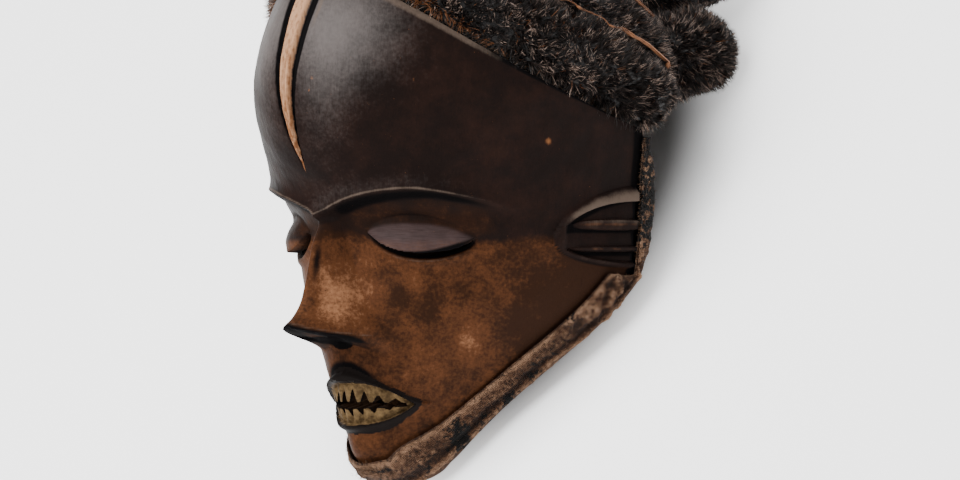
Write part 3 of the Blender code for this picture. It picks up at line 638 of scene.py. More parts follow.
class Signal:
    """A number in a shader: Python operators on it add Math nodes."""

    def __init__(self, tree: bpy.types.NodeTree, socket: bpy.types.NodeSocket) -> None:
        """Wrap a socket of a node tree."""
        self.tree = tree
        self.socket = socket

    def math(
        self, operation: str, *others: Union["Signal", float], first: Optional[float] = None
    ) -> "Signal":
        """Add a Math node.

        Args:
            operation: Name of the operation.
            others: The other operands.
            first: A plain number that comes before this signal.

        Returns:
            The result as a new signal.
        """
        node = self.tree.nodes.new("ShaderNodeMath")
        node.operation = operation
        operands: List[Union["Signal", float]] = [self, *others]
        if first is not None:
            operands = [first, self, *others]
        for socket, operand in zip(node.inputs, operands):
            if isinstance(operand, Signal):
                self.tree.links.new(operand.socket, socket)
            else:
                socket.default_value = operand
        return Signal(self.tree, node.outputs[0])

    def __add__(self, other: Union["Signal", float]) -> "Signal":
        """Sum."""
        return self.math("ADD", other)

    __radd__ = __add__

    def __sub__(self, other: Union["Signal", float]) -> "Signal":
        """Difference."""
        return self.math("SUBTRACT", other)

    def __rsub__(self, other: float) -> "Signal":
        """Difference from a plain number."""
        return self.math("SUBTRACT", first=other)

    def __mul__(self, other: Union["Signal", float]) -> "Signal":
        """Product."""
        return self.math("MULTIPLY", other)

    __rmul__ = __mul__

    def __pow__(self, other: float) -> "Signal":
        """Power."""
        return self.math("POWER", other)

    def over(self, low: float, high: float) -> "Signal":
        """Ease from 0 at one value to 1 at another."""
        node = self.tree.nodes.new("ShaderNodeMapRange")
        node.interpolation_type = "SMOOTHSTEP"
        self.tree.links.new(self.socket, node.inputs["Value"])
        node.inputs["From Min"].default_value = low
        node.inputs["From Max"].default_value = high
        return Signal(self.tree, node.outputs["Result"])

    def largest(self, other: Union["Signal", float]) -> "Signal":
        """The larger of two."""
        return self.math("MAXIMUM", other)


Colour = Tuple[float, float, float]
Paint = Union[Colour, bpy.types.NodeSocket]


class Painter:
    """One procedural material and its nodes."""

    def __init__(self, name: str, scale: float = 1000.0) -> None:
        """Start a material.

        Args:
            name: Name of the material.
            scale: Patterns are drawn in this many units a metre.
        """
        self.material = bpy.data.materials.new(name)
        self.material.use_nodes = True
        self.tree = self.material.node_tree
        self.shader = self.tree.nodes["Principled BSDF"]
        coordinates = self.node("ShaderNodeTexCoord")
        self.lying = coordinates.outputs["Object"]
        place = -(POSE.matrix().T @ np.array(POSE.place)) * scale
        self.drawn = self.node(
            "ShaderNodeMapping",
            {"vector_type": "POINT"},
            Vector=coordinates.outputs["Object"],
            Location=tuple(place),
            Rotation=(-POSE.tilt, 0, 0),
            Scale=(scale, scale, scale),
        ).outputs["Vector"]

    def node(self, kind: str, settings: Optional[Dict[str, Any]] = None, **inputs: Any) -> bpy.types.Node:
        """Add a node.

        Args:
            kind: Blender's name for the node's type.
            settings: The node's own settings, set first. "stops" fills a ramp.
            inputs: Values or links of its sockets, by name with _ for a space.

        Returns:
            The node.
        """
        made = self.tree.nodes.new(kind)
        for key, value in (settings or {}).items():
            if key == "stops":
                ramp = made.color_ramp
                while len(ramp.elements) < len(value):
                    ramp.elements.new(1.0)
                for stop, (place, colour) in zip(ramp.elements, value):
                    stop.position = place
                    stop.color = (*colour, 1.0)
            else:
                setattr(made, key, value)
        for key, value in inputs.items():
            socket = made.inputs[key.replace("_", " ")]
            self.feed(socket, value)
        return made

    def feed(self, socket: bpy.types.NodeSocket, value: Any) -> None:
        """Set a socket, or link it."""
        if isinstance(value, Signal):
            self.tree.links.new(value.socket, socket)
        elif isinstance(value, bpy.types.NodeSocket):
            self.tree.links.new(value, socket)
        elif socket.type == "RGBA" and len(value) == 3:
            socket.default_value = (*value, 1.0)
        else:
            socket.default_value = value

    def noise(
        self, size: float, detail: float = 3.0, stretch: Colour = (1, 1, 1), vector: Any = None
    ) -> Signal:
        """Noise with features of a size in millimetres.

        Args:
            size: Width of a feature.
            detail: How many finer layers are added.
            stretch: How much longer the features are along each axis.
            vector: Coordinates to use instead of the drawn ones.

        Returns:
            Values about 0.5.
        """
        source = self.drawn if vector is None else vector
        squeezed = self.node(
            "ShaderNodeVectorMath", {"operation": "MULTIPLY"}
        )
        self.feed(squeezed.inputs[0], source)
        squeezed.inputs[1].default_value = tuple(1 / (size * part) for part in stretch)
        made = self.node("ShaderNodeTexNoise", Vector=squeezed.outputs[0], Scale=1.0, Detail=detail,
                         Roughness=0.55)
        return Signal(self.tree, made.outputs["Fac"])

    def mark(self, name: str) -> Signal:
        """The number that the mesh keeps under a name."""
        made = self.node("ShaderNodeAttribute", {"attribute_name": name})
        return Signal(self.tree, made.outputs["Fac"])

    def mix(self, share: Signal, first: Paint, second: Paint) -> bpy.types.NodeSocket:
        """Colour between two, by a share."""
        made = self.node("ShaderNodeMix", {"data_type": "RGBA", "clamp_factor": True})
        self.feed(made.inputs[0], share)
        self.feed(made.inputs[6], first)
        self.feed(made.inputs[7], second)
        return made.outputs[2]

    def relief(self, height: Signal, depth: float, normal: Any = None) -> bpy.types.NodeSocket:
        """Bump of a depth in millimetres."""
        made = self.node("ShaderNodeBump", Strength=1.0, Distance=depth / 1000, Height=height)
        if normal is not None:
            self.feed(made.inputs["Normal"], normal)
        return made.outputs["Normal"]

    def finish(self, colour: Paint, roughness: Union[Signal, float], normal: Any = None, **plain: Any) -> Any:
        """Join the parts to the shader.

        Args:
            colour: The surface's colour.
            roughness: Its roughness.
            normal: Its bump, if any.
            plain: Values that are the same all over, by the socket's name.

        Returns:
            The material.
        """
        self.feed(self.shader.inputs["Base Color"], colour)
        self.feed(self.shader.inputs["Roughness"], roughness)
        if normal is not None:
            self.feed(self.shader.inputs["Normal"], normal)
        for key, value in plain.items():
            self.feed(self.shader.inputs[key.replace("_", " ")], value)
        return self.material


@dataclass(frozen=True)
class WoodFinish:
    """Hand-rubbed wood: black above, warm brown below, worn at its edges, with painted sheen, painted
    highlights and painted shade.
    """

    black: Colour = (0.0100, 0.0064, 0.0056)
    black_red: Colour = (0.020, 0.0098, 0.0074)
    # Black of soot and paint, also used for painted shade
    soot: Colour = (0.0032, 0.0028, 0.0030)
    # Pale grey of the painted sheen, standing in for the overhead light's reflection
    bloom: Colour = (0.185, 0.165, 0.158)
    warm: Colour = (0.080, 0.0300, 0.0125)
    # Paler warm wood, also used for painted highlights
    warm_pale_and_highlight: Colour = (0.27, 0.124, 0.062)
    # Darker warm wood, also used for painted shade and for specks
    warm_dark_and_shade: Colour = (0.024, 0.0105, 0.0058)
    # Pale of worn wood, also used for painted highlights
    worn: Colour = (0.120, 0.088, 0.068)
    bare: Colour = (0.27, 0.105, 0.040)
    # Mauve grey of a painted sheen on the near lids
    lid: Colour = (0.062, 0.042, 0.041)
    tooth: Colour = (0.165, 0.105, 0.048)
    tooth_dark: Colour = (0.045, 0.027, 0.013)
    inside: Colour = (0.065, 0.034, 0.018)
    lip: Colour = (0.0085, 0.0065, 0.0060)
    ridge: Colour = (0.155, 0.062, 0.026)
    ridge_light: Colour = (0.42, 0.235, 0.135)

    @staticmethod
    def strip_share(paint: Painter) -> Tuple[Signal, Signal]:
        """Sideways distance from the forehead strip's middle in half widths, and its height share."""
        parts = paint.node("ShaderNodeSeparateXYZ", Vector=paint.drawn)
        across = Signal(paint.tree, parts.outputs["X"]).math("ABSOLUTE")
        height = Signal(paint.tree, parts.outputs["Y"])
        long = CARVING.groove_head - CARVING.groove_foot
        rise = ((CARVING.groove_head - height) * (1 / long)).math("MINIMUM", 1.0).largest(0.0)
        half = ((1.0 - rise**1.7) * 9.8).largest(0.05)
        return across.math("DIVIDE", half), rise

    def make(self) -> bpy.types.Material:
        """Build the material."""
        paint = Painter("dark_wood_patina")
        blotch = paint.noise(22, 4)
        mottle = paint.noise(7, 5)
        grain = paint.noise(0.7, 3, (1, 14, 1))
        fleck = paint.noise(1.1, 3)
        fine = paint.noise(1.8, 4)
        upper = paint.mix((blotch + mottle * 0.5 + fine * 0.3).over(0.70, 1.30), self.black, self.black_red)
        # Painted light on the warm wood, mixed with its own mottled tone: darker where shade falls, paler
        # where the light falls
        glow = paint.mark("glow")
        shade = glow + (mottle - 0.5) * 1.3 + (blotch - 0.5) * 0.5 + (fine - 0.5) * 1.3
        low = paint.mix(shade.over(0.0, 0.9), self.warm_dark_and_shade, self.warm)
        shine = glow + (mottle - 0.5) * 1.1 + (fine - 0.5) * 1.5 + (grain - 0.5) * 0.4
        low = paint.mix(shine.over(0.75, 1.85), low, self.warm_pale_and_highlight)
        speck = paint.noise(0.9, 2, (1.6, 1, 1.6)).over(0.62, 0.72) * 0.55
        low = paint.mix(speck, low, self.warm_dark_and_shade)
        warm = (paint.mark("warm") + (blotch - 0.5) * 0.55 + (mottle - 0.5) * 0.5).over(0.25, 0.85)
        colour = paint.mix(warm, upper, low)
        colour = paint.mix((grain.over(0.5, 0.78)) * 0.22, colour, self.soot)
        # Painted sheen on the forehead's top left and above the brows
        sheen_amount = paint.mark("bloom") + (mottle - 0.5) * 0.3 + (blotch - 0.5) * 0.3 + (fine - 0.5) * 0.5
        colour = paint.mix((sheen_amount + (grain - 0.5) * 0.3).over(0.10, 1.40) * 0.60,
                           colour, self.bloom)
        scratch = paint.noise(0.45, 3, (14, 1, 14))
        # Painted sheen: the near lids turn mauve grey, with fine scratches
        lid = paint.mark("lid") * (0.72 + (scratch - 0.5) * 1.1 + (mottle - 0.5) * 0.5)
        colour = paint.mix(lid, colour, self.lid)
        spot = paint.mark("bare") * (0.55 + fine * 0.6) + (mottle - 0.5) * 0.5
        colour = paint.mix(spot.over(0.30, 1.05) * 0.85, colour, self.bare)
        # Soot and black paint, with painted shade in the lid slits and creases, under the ear bars and along
        # the hairline
        colour = paint.mix((paint.mark("soot") + (mottle - 0.5) * 0.35).over(0.2, 0.8), colour, self.soot)
        # Wear and painted highlights on edges and crests
        worn = paint.mark("worn") + (mottle - 0.5) * 0.7 + (grain - 0.5) * 0.3
        colour = paint.mix(worn.over(0.3, 1.1) * 0.8, colour, self.worn)
        colour = paint.mix((paint.mark("lip") + (mottle - 0.5) * 0.4).over(0.2, 0.8), colour, self.lip)
        tooth = paint.mix((fine * 0.6 + mottle * 0.6).over(0.4, 0.85), self.tooth_dark, self.tooth)
        colour = paint.mix((paint.mark("tooth") + (mottle - 0.5) * 0.3).over(0.3, 0.7), colour, tooth)
        side, rise = self.strip_share(paint)
        strip = paint.mark("strip") * (1.0 - rise.over(0.97, 1.0))
        streak = paint.noise(1.3, 4, (1, 16, 1))
        bed = side.over(0.50, 0.56) * (1.0 - side.over(0.98, 1.10)) * strip
        ridge = (1.0 - (side + (fine - 0.5) * 0.10).over(0.47, 0.54)) * strip
        light = (streak * 1.0 + fine * 0.5 - rise * 0.35).over(0.30, 0.85)
        colour = paint.mix(bed, colour, self.soot)
        colour = paint.mix(ridge, colour, paint.mix(light, self.ridge, self.ridge_light))
        # Painted shade: the mouth's cut walls and the nostrils are blackened
        colour = paint.mix(paint.mark("crevice").over(0.25, 0.7), colour, self.soot)
        colour = paint.mix(fleck.over(0.72, 0.79) * 0.35, colour, self.bare)
        colour = paint.mix(paint.mark("inside"), colour, self.inside)
        rough = 0.30 + mottle * 0.22 + fine * 0.08 + warm * 0.06 + paint.mark("inside") * 0.3
        rough = rough + paint.mark("crevice") * 0.3 + bed * 0.2 + paint.mark("soot") * 0.4
        tool = paint.noise(3.2, 2, (1, 2.5, 1))
        normal = paint.relief(grain * 0.3 + tool * 0.6 + fleck * 0.2 + fine * 0.35, 0.24)
        return paint.finish(colour, rough, normal, Specular_IOR_Level=0.02)


@dataclass(frozen=True)
class PileFinish:
    """Black-brown dyed fibre with browner, paler tips, partly painted strand highlights."""

    name: str = "black_pile_fibre"
    deep: Colour = (0.004, 0.003, 0.0025)
    strand: Colour = (0.022, 0.0135, 0.0105)
    tip: Colour = (0.48, 0.345, 0.275)
    thread: Colour = (0.19, 0.070, 0.024)

    def make(self) -> bpy.types.Material:
        """Build the material."""
        paint = Painter(self.name)
        tone = paint.mark("strand")
        patch = paint.noise(16, 3)
        colour = paint.mix(tone.over(0.0, 0.8), self.deep, self.strand)
        # Paler tips: partly painted highlights on the strands
        colour = paint.mix((tone + (patch - 0.5) * 0.35).over(0.82, 1.22), colour, self.tip)
        colour = paint.mix(paint.mark("thread"), colour, self.thread)
        return paint.finish(colour, 0.42 + patch * 0.2, paint.relief(paint.noise(0.5, 2), 0.08))


@dataclass(frozen=True)
class RaffiaFinish:
    """Dry orange-brown leaf fibre."""

    dark: Colour = (0.085, 0.028, 0.009)
    light: Colour = (0.30, 0.115, 0.040)

    def make(self) -> bpy.types.Material:
        """Build the material."""
        paint = Painter("dry_raffia")
        streak = paint.noise(0.5, 3, (5, 1, 5))
        patch = paint.noise(6, 3)
        colour = paint.mix((streak * 0.7 + patch * 0.6).over(0.4, 0.9), self.dark, self.light)
        return paint.finish(colour, 0.6 + patch * 0.15, paint.relief(streak, 0.15))


@dataclass(frozen=True)
class TextileFinish:
    """Coarse woven strip, rust brown, with black stains and rubbed folds, darker along its pressed groove as
    painted shade.
    """

    dark: Colour = (0.018, 0.0080, 0.0048)
    rust: Colour = (0.092, 0.041, 0.020)
    pale: Colour = (0.30, 0.175, 0.105)
    stain: Colour = (0.004, 0.0033, 0.003)

    def make(self) -> bpy.types.Material:
        """Build the material."""
        paint = Painter("rim_textile_weave")
        flat = paint.node("ShaderNodeUVMap", {"uv_map": "weave"}).outputs["UV"]
        warp = paint.node("ShaderNodeTexWave", {"wave_type": "BANDS", "bands_direction": "X"},
                          Vector=flat, Scale=0.36, Distortion=0.7, Detail=1.0, Detail_Scale=2.0)
        weft = paint.node("ShaderNodeTexWave", {"wave_type": "BANDS", "bands_direction": "Y"},
                          Vector=flat, Scale=0.30, Distortion=0.9, Detail=1.0, Detail_Scale=2.0)
        thread = Signal(paint.tree, warp.outputs["Fac"]) * Signal(paint.tree, weft.outputs["Fac"])
        patch = paint.noise(9, 4)
        fine = paint.noise(1.4, 3)
        knot = paint.noise(2.4, 3)
        fold = paint.mark("fold")
        dyed = patch * 0.5 + fine * 0.9 + knot * 0.6 + fold * 0.4
        rubbed = thread * 0.4 + fine * 1.1 + knot * 0.8 + fold * 0.5
        colour = paint.mix(dyed.over(0.55, 1.35), self.dark, self.rust)
        colour = paint.mix(rubbed.over(0.95, 1.75), colour, self.pale)
        stain = (paint.mark("stain") + (paint.noise(3.2, 5) - 0.5) * 1.9).over(0.44, 0.60)
        spots = (paint.noise(1.5, 2) + paint.mark("stain") * 0.15).over(0.63, 0.70)
        stain = stain.largest(spots * 0.85)
        colour = paint.mix(stain, colour, self.stain)
        normal = paint.relief(thread * 0.9 + fine * 1.2 + knot * 1.4 + patch * 0.3, 1.0)
        return paint.finish(colour, 0.86, normal, Specular_IOR_Level=0.08, Sheen_Weight=0.04)


@dataclass(frozen=True)
class LiningFinish:
    """Knotted fibre net under the pile."""

    cord: Colour = (0.075, 0.042, 0.024)
    gap: Colour = (0.012, 0.009, 0.008)

    def make(self) -> bpy.types.Material:
        """Build the material."""
        paint = Painter("wig_lining_net")
        edges = {"feature": "DISTANCE_TO_EDGE"}
        net = paint.node("ShaderNodeTexVoronoi", edges, Vector=paint.drawn, Scale=0.22)
        mesh = 1.0 - Signal(paint.tree, net.outputs["Distance"]).over(0.03, 0.16)
        fine = paint.noise(0.8, 3)
        colour = paint.mix((mesh * 0.8 + fine * 0.4).over(0.35, 1.0), self.gap, self.cord)
        return paint.finish(colour, 0.85, paint.relief(mesh + fine * 0.4, 0.7))


class Finishes:
    """All materials of the object, made once."""

    def __init__(self) -> None:
        """Build each of them."""
        self.wood = WoodFinish().make()
        self.pile = PileFinish().make()
        self.raffia = RaffiaFinish().make()
        self.textile = TextileFinish().make()
        self.lining = LiningFinish().make()


class Slot(Enum):
    """The record's material slots."""

    WOOD = "dark_wood"
    PILE = "black_pile"
    RAFFIA = "raffia"
    TEXTILE = "rim_textile"


def dress(piece: bpy.types.Object, material: bpy.types.Material, slot: Slot, *nodes: str) -> bpy.types.Object:
    """Give a piece its material and its place in the object.

    Args:
        piece: The finished piece.
        material: Its material.
        slot: The record's slot for the piece's finish; not used.
        nodes: The solids that it stands for.

    Returns:
        The piece.
    """
    piece.data.materials.clear()
    piece.data.materials.append(material)
    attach(piece, "root")
    if nodes:
        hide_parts(*nodes)
    LOG.info("%s: %d faces", piece.name, len(piece.data.polygons))
    return piece


@dataclass
class CarvedFace:
    """The wooden face: a thin carved shell with slits, teeth and nostrils cut through."""

    columns: int = 320
    rows: int = 268
    inner_ratio: int = 4
    column_crowds: Table = ((0.0, 0.5, 0.9), (0.0, 0.085, 1.5), (1.40, 0.17, 0.9))
    row_crowds: Table = ((-83.0, 20.0, 1.3), (-2.0, 12.0, 0.9), (22.0, 8.0, 0.7))

    @staticmethod
    def crowd(low: Any, high: Any, share: np.ndarray, crowds: Table, both_sides: bool) -> np.ndarray:
        """Values from low to high that lie closer together near some places.

        Args:
            low: First values.
            high: Last values.
            share: Where between them, from 0 to 1.
            crowds: Centre, width and gain of each place.
            both_sides: Whether the places also count with their sign changed.

        Returns:
            One row of values for each pair of ends.
        """
        grid = np.linspace(-135, 145, 3000) if not both_sides else np.linspace(-1.7, 1.7, 3000)
        weight = np.ones_like(grid)
        for centre, width, gain in crowds:
            weight += gain * bump_at(np.abs(grid) if both_sides else grid, centre, width)
        total = np.concatenate(([0], np.cumsum((weight[1:] + weight[:-1]) / 2 * np.diff(grid))))
        start = np.interp(low, grid, total)
        stop = np.interp(high, grid, total)
        return np.interp(start[..., None] + (stop - start)[..., None] * share, total, grid)

    def sheet(self, ratio: int, rule: Rule, ends: Rule, floor: float) -> np.ndarray:
        """Grid of points over the face.

        Args:
            ratio: Takes every so many columns and rows.
            rule: Distance from the axis.
            ends: Distance that decides where the wood ends.
            floor: Lowest height under the chin.

        Returns:
            Points by column and row.
        """
        back = HEAD.back_angle
        share = np.linspace(0, 1, self.columns + 1)
        angle = self.crowd(np.array(-back), np.array(back), share, self.column_crowds, True)[::ratio]
        low, high = HEAD.ends(angle, ends, floor)
        steps = np.linspace(0, 1, self.rows + 1)
        heights = self.crowd(low, high, steps, self.row_crowds, False)[:, ::ratio]
        angles = np.repeat(angle[:, None], heights.shape[1], axis=1)
        radius = rule(angles.ravel(), heights.ravel()).reshape(heights.shape)
        return HEAD.spot(angles, heights, radius)

    @staticmethod
    def draped(name: str, points: np.ndarray) -> bpy.types.Object:
        """A flat grid, moved point by point onto a surface."""
        columns, rows = points.shape[0] - 1, points.shape[1] - 1
        bpy.ops.object.select_all(action="DESELECT")
        bpy.ops.mesh.primitive_grid_add(x_subdivisions=columns, y_subdivisions=rows, size=2.0)
        made = bpy.context.active_object
        made.name = name
        flat = read_spots(made)
        column = np.rint((flat[:, 0] + 1) / 2 * columns).astype(int)
        row = np.rint((flat[:, 1] + 1) / 2 * rows).astype(int)
        write_spots(made, points[column, row])
        return made

    def shell(self) -> bpy.types.Object:
        """The carved outside and the plain inside, sewn together along their edges."""
        outer = self.sheet(1, CARVING.full_radius, CARVING.radius, HEAD.chin_floor)
        inner = self.sheet(self.inner_ratio, HEAD.inner_radius, HEAD.inner_radius, HEAD.chin_floor + 8)
        outside = self.draped("face_wood", outer)
        inside = self.draped("face_hollow", inner)
        select_only(inside)
        bpy.ops.object.mode_set(mode="EDIT")
        bpy.ops.mesh.select_all(action="SELECT")
        bpy.ops.mesh.flip_normals()
        bpy.ops.object.mode_set(mode="OBJECT")
        count = len(outside.data.vertices)
        made = join(outside, [inside])
        work = bmesh.new()
        work.from_mesh(made.data)
        work.verts.ensure_lookup_table()
        spots = read_spots(made)
        loops = []
        for points, start, stop in ((outer, 0, count), (inner, count, len(spots))):
            ring = self.border(points)
            tree = KDTree(stop - start)
            for index in range(start, stop):
                tree.insert(spots[index], index)
            tree.balance()
            loops.append([tree.find(spot)[1] for spot in ring])
        long, short = loops
        ratio = self.inner_ratio
        for k, near in enumerate(short):
            far = short[(k + 1) % len(short)]
            run = [long[(k * ratio + step) % len(long)] for step in range(ratio + 1)]
            middle = ratio // 2
            fans = [(run[j], run[j + 1], near) for j in range(middle)]
            fans.append((run[middle], far, near))
            fans += [(run[j], run[j + 1], far) for j in range(middle, ratio)]
            for fan in fans:
                work.faces.new([work.verts[index] for index in fan])
        bmesh.ops.recalc_face_normals(work, faces=work.faces)
        work.to_mesh(made.data)
        work.free()
        return made

    @staticmethod
    def border(points: np.ndarray) -> np.ndarray:
        """Points round the edge of a grid, in order."""
        return np.concatenate((points[0, :-1], points[:-1, -1], points[-1, :0:-1], points[:0:-1, 0]))

    @staticmethod
    def angle_at(x: np.ndarray, height: np.ndarray) -> np.ndarray:
        """Bearing on the plain head at which the sideways distance is x."""
        low = np.zeros_like(x)
        high = np.full_like(x, math.radians(85))
        for _ in range(34):
            middle = (low + high) / 2
            past = HEAD.radius(middle, height) * np.sin(middle) > np.abs(x)
            high = np.where(past, middle, high)
            low = np.where(past, low, middle)
        return np.sign(x) * (low + high) / 2

    @staticmethod
    def cutter(
        name: str, angle: np.ndarray, low: np.ndarray, high: np.ndarray, slant: float, inward: Any = 30.0
    ) -> bpy.types.Object:
        """A closed strip through the wall between two lines over the face.

        Args:
            name: Name of the cutter.
            angle: Bearings of its stations.
            low: Heights of its lower line.
            high: Heights of its upper line.
            slant: How far it climbs for each step inwards.
            inward: How deep it reaches under the plain head.

        Returns:
            The cutter.
        """
        rings = []
        for heights in (low, high):
            for reach in (14.0, -inward):
                radius = HEAD.radius(angle, heights) + reach
                rings.append(HEAD.spot(angle, heights - slant * reach, radius))
        count = len(angle)
        order = (0, 2, 3, 1)
        spots = np.concatenate([rings[k] for k in order])
        faces: List[Tuple[int, ...]] = []
        for side in range(4):
            first, second = side * count, (side + 1) % 4 * count
            faces += [(first + k, first + k + 1, second + k + 1, second + k) for k in range(count - 1)]
        faces.append(tuple(side * count for side in range(3, -1, -1)))
        faces.append(tuple(side * count + count - 1 for side in range(4)))
        made = mesh_piece(name, spots, faces)
        select_only(made)
        bpy.ops.object.mode_set(mode="EDIT")
        bpy.ops.mesh.select_all(action="SELECT")
        bpy.ops.mesh.normals_make_consistent(inside=False)
        bpy.ops.object.mode_set(mode="OBJECT")
        return made

    def eye_cutter(self, side: int) -> bpy.types.Object:
        """The slit under one lid."""
        reach = CARVING.eye_half * 0.95
        x = np.linspace(CARVING.eye_x - reach, CARVING.eye_x + reach, 41)
        part, _, bottom = CARVING.eye_edges(x)
        tall = CARVING.eye_slit * np.maximum(1 - part**2, 0.01) ** 0.5
        angle = self.angle_at(x, bottom - tall / 2)
        return self.cutter("eye_slit", angle * side, bottom - tall, bottom + 0.3, 0.5)

    def teeth_cutter(self) -> bpy.types.Object:
        """The zigzag gap between the upper and the lower teeth."""
        half = CARVING.mouth_inner * 0.88
        fine = 8
        corners = CARVING.teeth * 2 + 1
        x = np.linspace(-half, half, (corners - 1) * fine + 1)
        part = np.abs(x) / half
        turn = np.arange(len(x)) / fine
        saw = np.abs((turn + 1) % 2 - 1)
        wander = 0.5 * np.sin(turn * 2.3) + 0.35 * np.sin(turn * 5.1 + 1)
        notch = smooth((saw - 0.22) / 0.78) ** 0.85
        low_notch = smooth(((1 - saw) - 0.35) / 0.65) ** 0.9
        taper = np.maximum(1 - part**2.2, 0) ** 0.9
        slot = 0.8 + 1.0 * (1 - part)
        middle = CARVING.mouth_y - 0.6 * (1 - part)
        high = middle + slot + (notch * (5.4 + wander)) * taper
        low = middle - slot - (low_notch * (3.4 - wander)) * taper
        angle = self.angle_at(x, np.full_like(x, CARVING.mouth_y))
        blind = 30.0 - 23.5 * smooth((np.abs(x) - 12.5) / 2.5)
        return self.cutter("teeth_gap", angle, low, high, 0.25, blind)

    @staticmethod
    def nostril(side: int) -> bpy.types.Object:
        """A slanting hole under one wing of the nose."""
        bpy.ops.object.select_all(action="DESELECT")
        bpy.ops.mesh.primitive_uv_sphere_add(
            segments=28, ring_count=16, radius=1.0, location=(side * 9.5, -53.0, 117.5)
        )
        made = bpy.context.active_object
        made.scale = (4.4, 3.3, 9.5)
        made.rotation_euler = Euler((math.radians(-28), math.radians(24) * side, 0), "XYZ")
        bpy.ops.object.transform_apply(location=True, rotation=True, scale=True)
        return made

    def build(self) -> bpy.types.Object:
        """Shape the face and cut it."""
        face = self.shell()
        cutters = [self.eye_cutter(1), self.eye_cutter(-1), self.teeth_cutter()]
        cutters += [self.nostril(1), self.nostril(-1)]
        cutters.append(self.nail_hole(1))
        cutters.append(self.nail_hole(-1))
        cutter = join(cutters[0], cutters[1:])
        cut = face.modifiers.new("cut", "BOOLEAN")
        cut.operation = "DIFFERENCE"
        cut.solver = "EXACT"
        cut.object = cutter
        apply_modifiers(face)
        bpy.data.objects.remove(cutter, do_unlink=True)
        self.keep_largest(face)
        spots = read_spots(face)
        self.mark_wear_and_painted_light(face, spots)
        write_spots(face, POSE.lay(spots))
        select_only(face)
        bpy.ops.object.shade_smooth_by_angle(angle=math.radians(42))
        return face

    @staticmethod
    def nail_hole(side: int) -> bpy.types.Object:
        """A small peg hole in front of one ear."""
        bpy.ops.object.select_all(action="DESELECT")
        bpy.ops.mesh.primitive_cylinder_add(
            vertices=12, radius=0.9, depth=9.0, location=(side * 90.5, 0.0, 49.5),
            rotation=(0, side * math.radians(62), 0),
        )
        made = bpy.context.active_object
        bpy.ops.object.transform_apply(location=True, rotation=True, scale=True)
        return made

    @staticmethod
    def keep_largest(target: bpy.types.Object) -> None:
        """Drop loose crumbs that a cut leaves."""
        select_only(target)
        bpy.ops.object.mode_set(mode="EDIT")
        bpy.ops.mesh.select_all(action="DESELECT")
        bpy.ops.object.mode_set(mode="OBJECT")
        highest = int(np.argmax(read_spots(target)[:, 1]))
        target.data.vertices[highest].select = True
        bpy.ops.object.mode_set(mode="EDIT")
        bpy.ops.mesh.select_linked()
        bpy.ops.mesh.select_all(action="INVERT")
        bpy.ops.mesh.delete(type="VERT")
        bpy.ops.object.mode_set(mode="OBJECT")

    @staticmethod
    def crevice_shading(face: bpy.types.Object, spots: np.ndarray) -> np.ndarray:
        """Painted shade in the cuts: the side walls of the mouth's cut, and a dark ellipse painted at each
        nostril.

        Args:
            face: The carved face, after its cuts.
            spots: Its points as drawn.

        Returns:
            1 on such a wall or in such an ellipse, easing to 0 away from it, for each point.
        """
        polygons = face.data.polygons
        centre = np.empty(len(polygons) * 3, np.float32)
        normal = np.empty(len(polygons) * 3, np.float32)
        polygons.foreach_get("center", centre)
        polygons.foreach_get("normal", normal)
        centre = centre.reshape(-1, 3).astype(float)
        x, y, z = centre.T
        outward = unit(centre * np.array((1, 0, 1)))
        sideways = np.abs(np.sum(normal.reshape(-1, 3) * outward, axis=1)) < 0.5
        angle = np.arctan2(x, z)
        sunk = np.hypot(x, z) < CARVING.radius(angle, y) - 0.9
        mouth = (np.abs(y - CARVING.mouth_y) < 13) & (np.abs(x) < CARVING.mouth_inner - 1.2) & sunk
        walls = np.flatnonzero(sideways & mouth & (z > 40))
        marked = np.zeros(len(spots))
        for index in walls:
            marked[list(polygons[int(index)].vertices)] = 1.0
        # A dark ellipse painted at each nostril as the shade in the hole
        lean = (np.abs(spots[:, 0]) - spots[:, 2] + 108.5) / 11.5
        nostril = np.hypot(lean, (spots[:, 1] + 52.9 + 1.0 * lean) / 3.3)
        return np.maximum(marked, smooth((1.12 - nostril) / 0.24) * (spots[:, 2] > 95))

    @staticmethod
    def mark_wear_and_painted_light(face: bpy.types.Object, spots: np.ndarray) -> None:
        """Keep on the mesh where it is dark, warm, sooty, worn or bare, and where sheen, highlights and shade
        are painted.

        Args:
            face: The carved face.
            spots: Its points as drawn.
        """
        x, y, z = spots.T
        across = np.abs(x)
        lean = across - z
        front = z > 60
        angle = np.arctan2(x, z)
        radius = np.hypot(x, z)
        plain = HEAD.radius(angle, y)
        outside = radius > plain - 5.5
        lift = radius - plain

        gap = CARVING.brow_gap(x, y)
        bound = -1.5 + 6 * smooth((26 - across) / 14) + 3.0 * smooth((across - 66) / 24)
        warm = smooth((bound - y) / 11 + 0.35)
        socket = smooth((-3.0 - gap) / 3.0) * smooth((y + 4) / 6) * (1 - smooth((across - 66) / 14))
        warm = np.maximum(warm, 0.52 * socket)
        # Warm wood's own patchy tone plus painted light: darker under the brows, a little towards the chin
        # and on the side away from the light, with painted highlights on the lit nose and cheek
        glow = 0.46 - 0.04 * smooth((-60 - y) / 30) - 0.50 * socket - 0.62 * smooth((lean + 10) / 55)
        for there, height, size, gain in WARM_TONE_AND_LIGHT_PATCHES:
            glow = glow + gain * np.exp(-((lean - there) ** 2 + (y - height) ** 2) / size**2)
        store(face, "glow", glow)

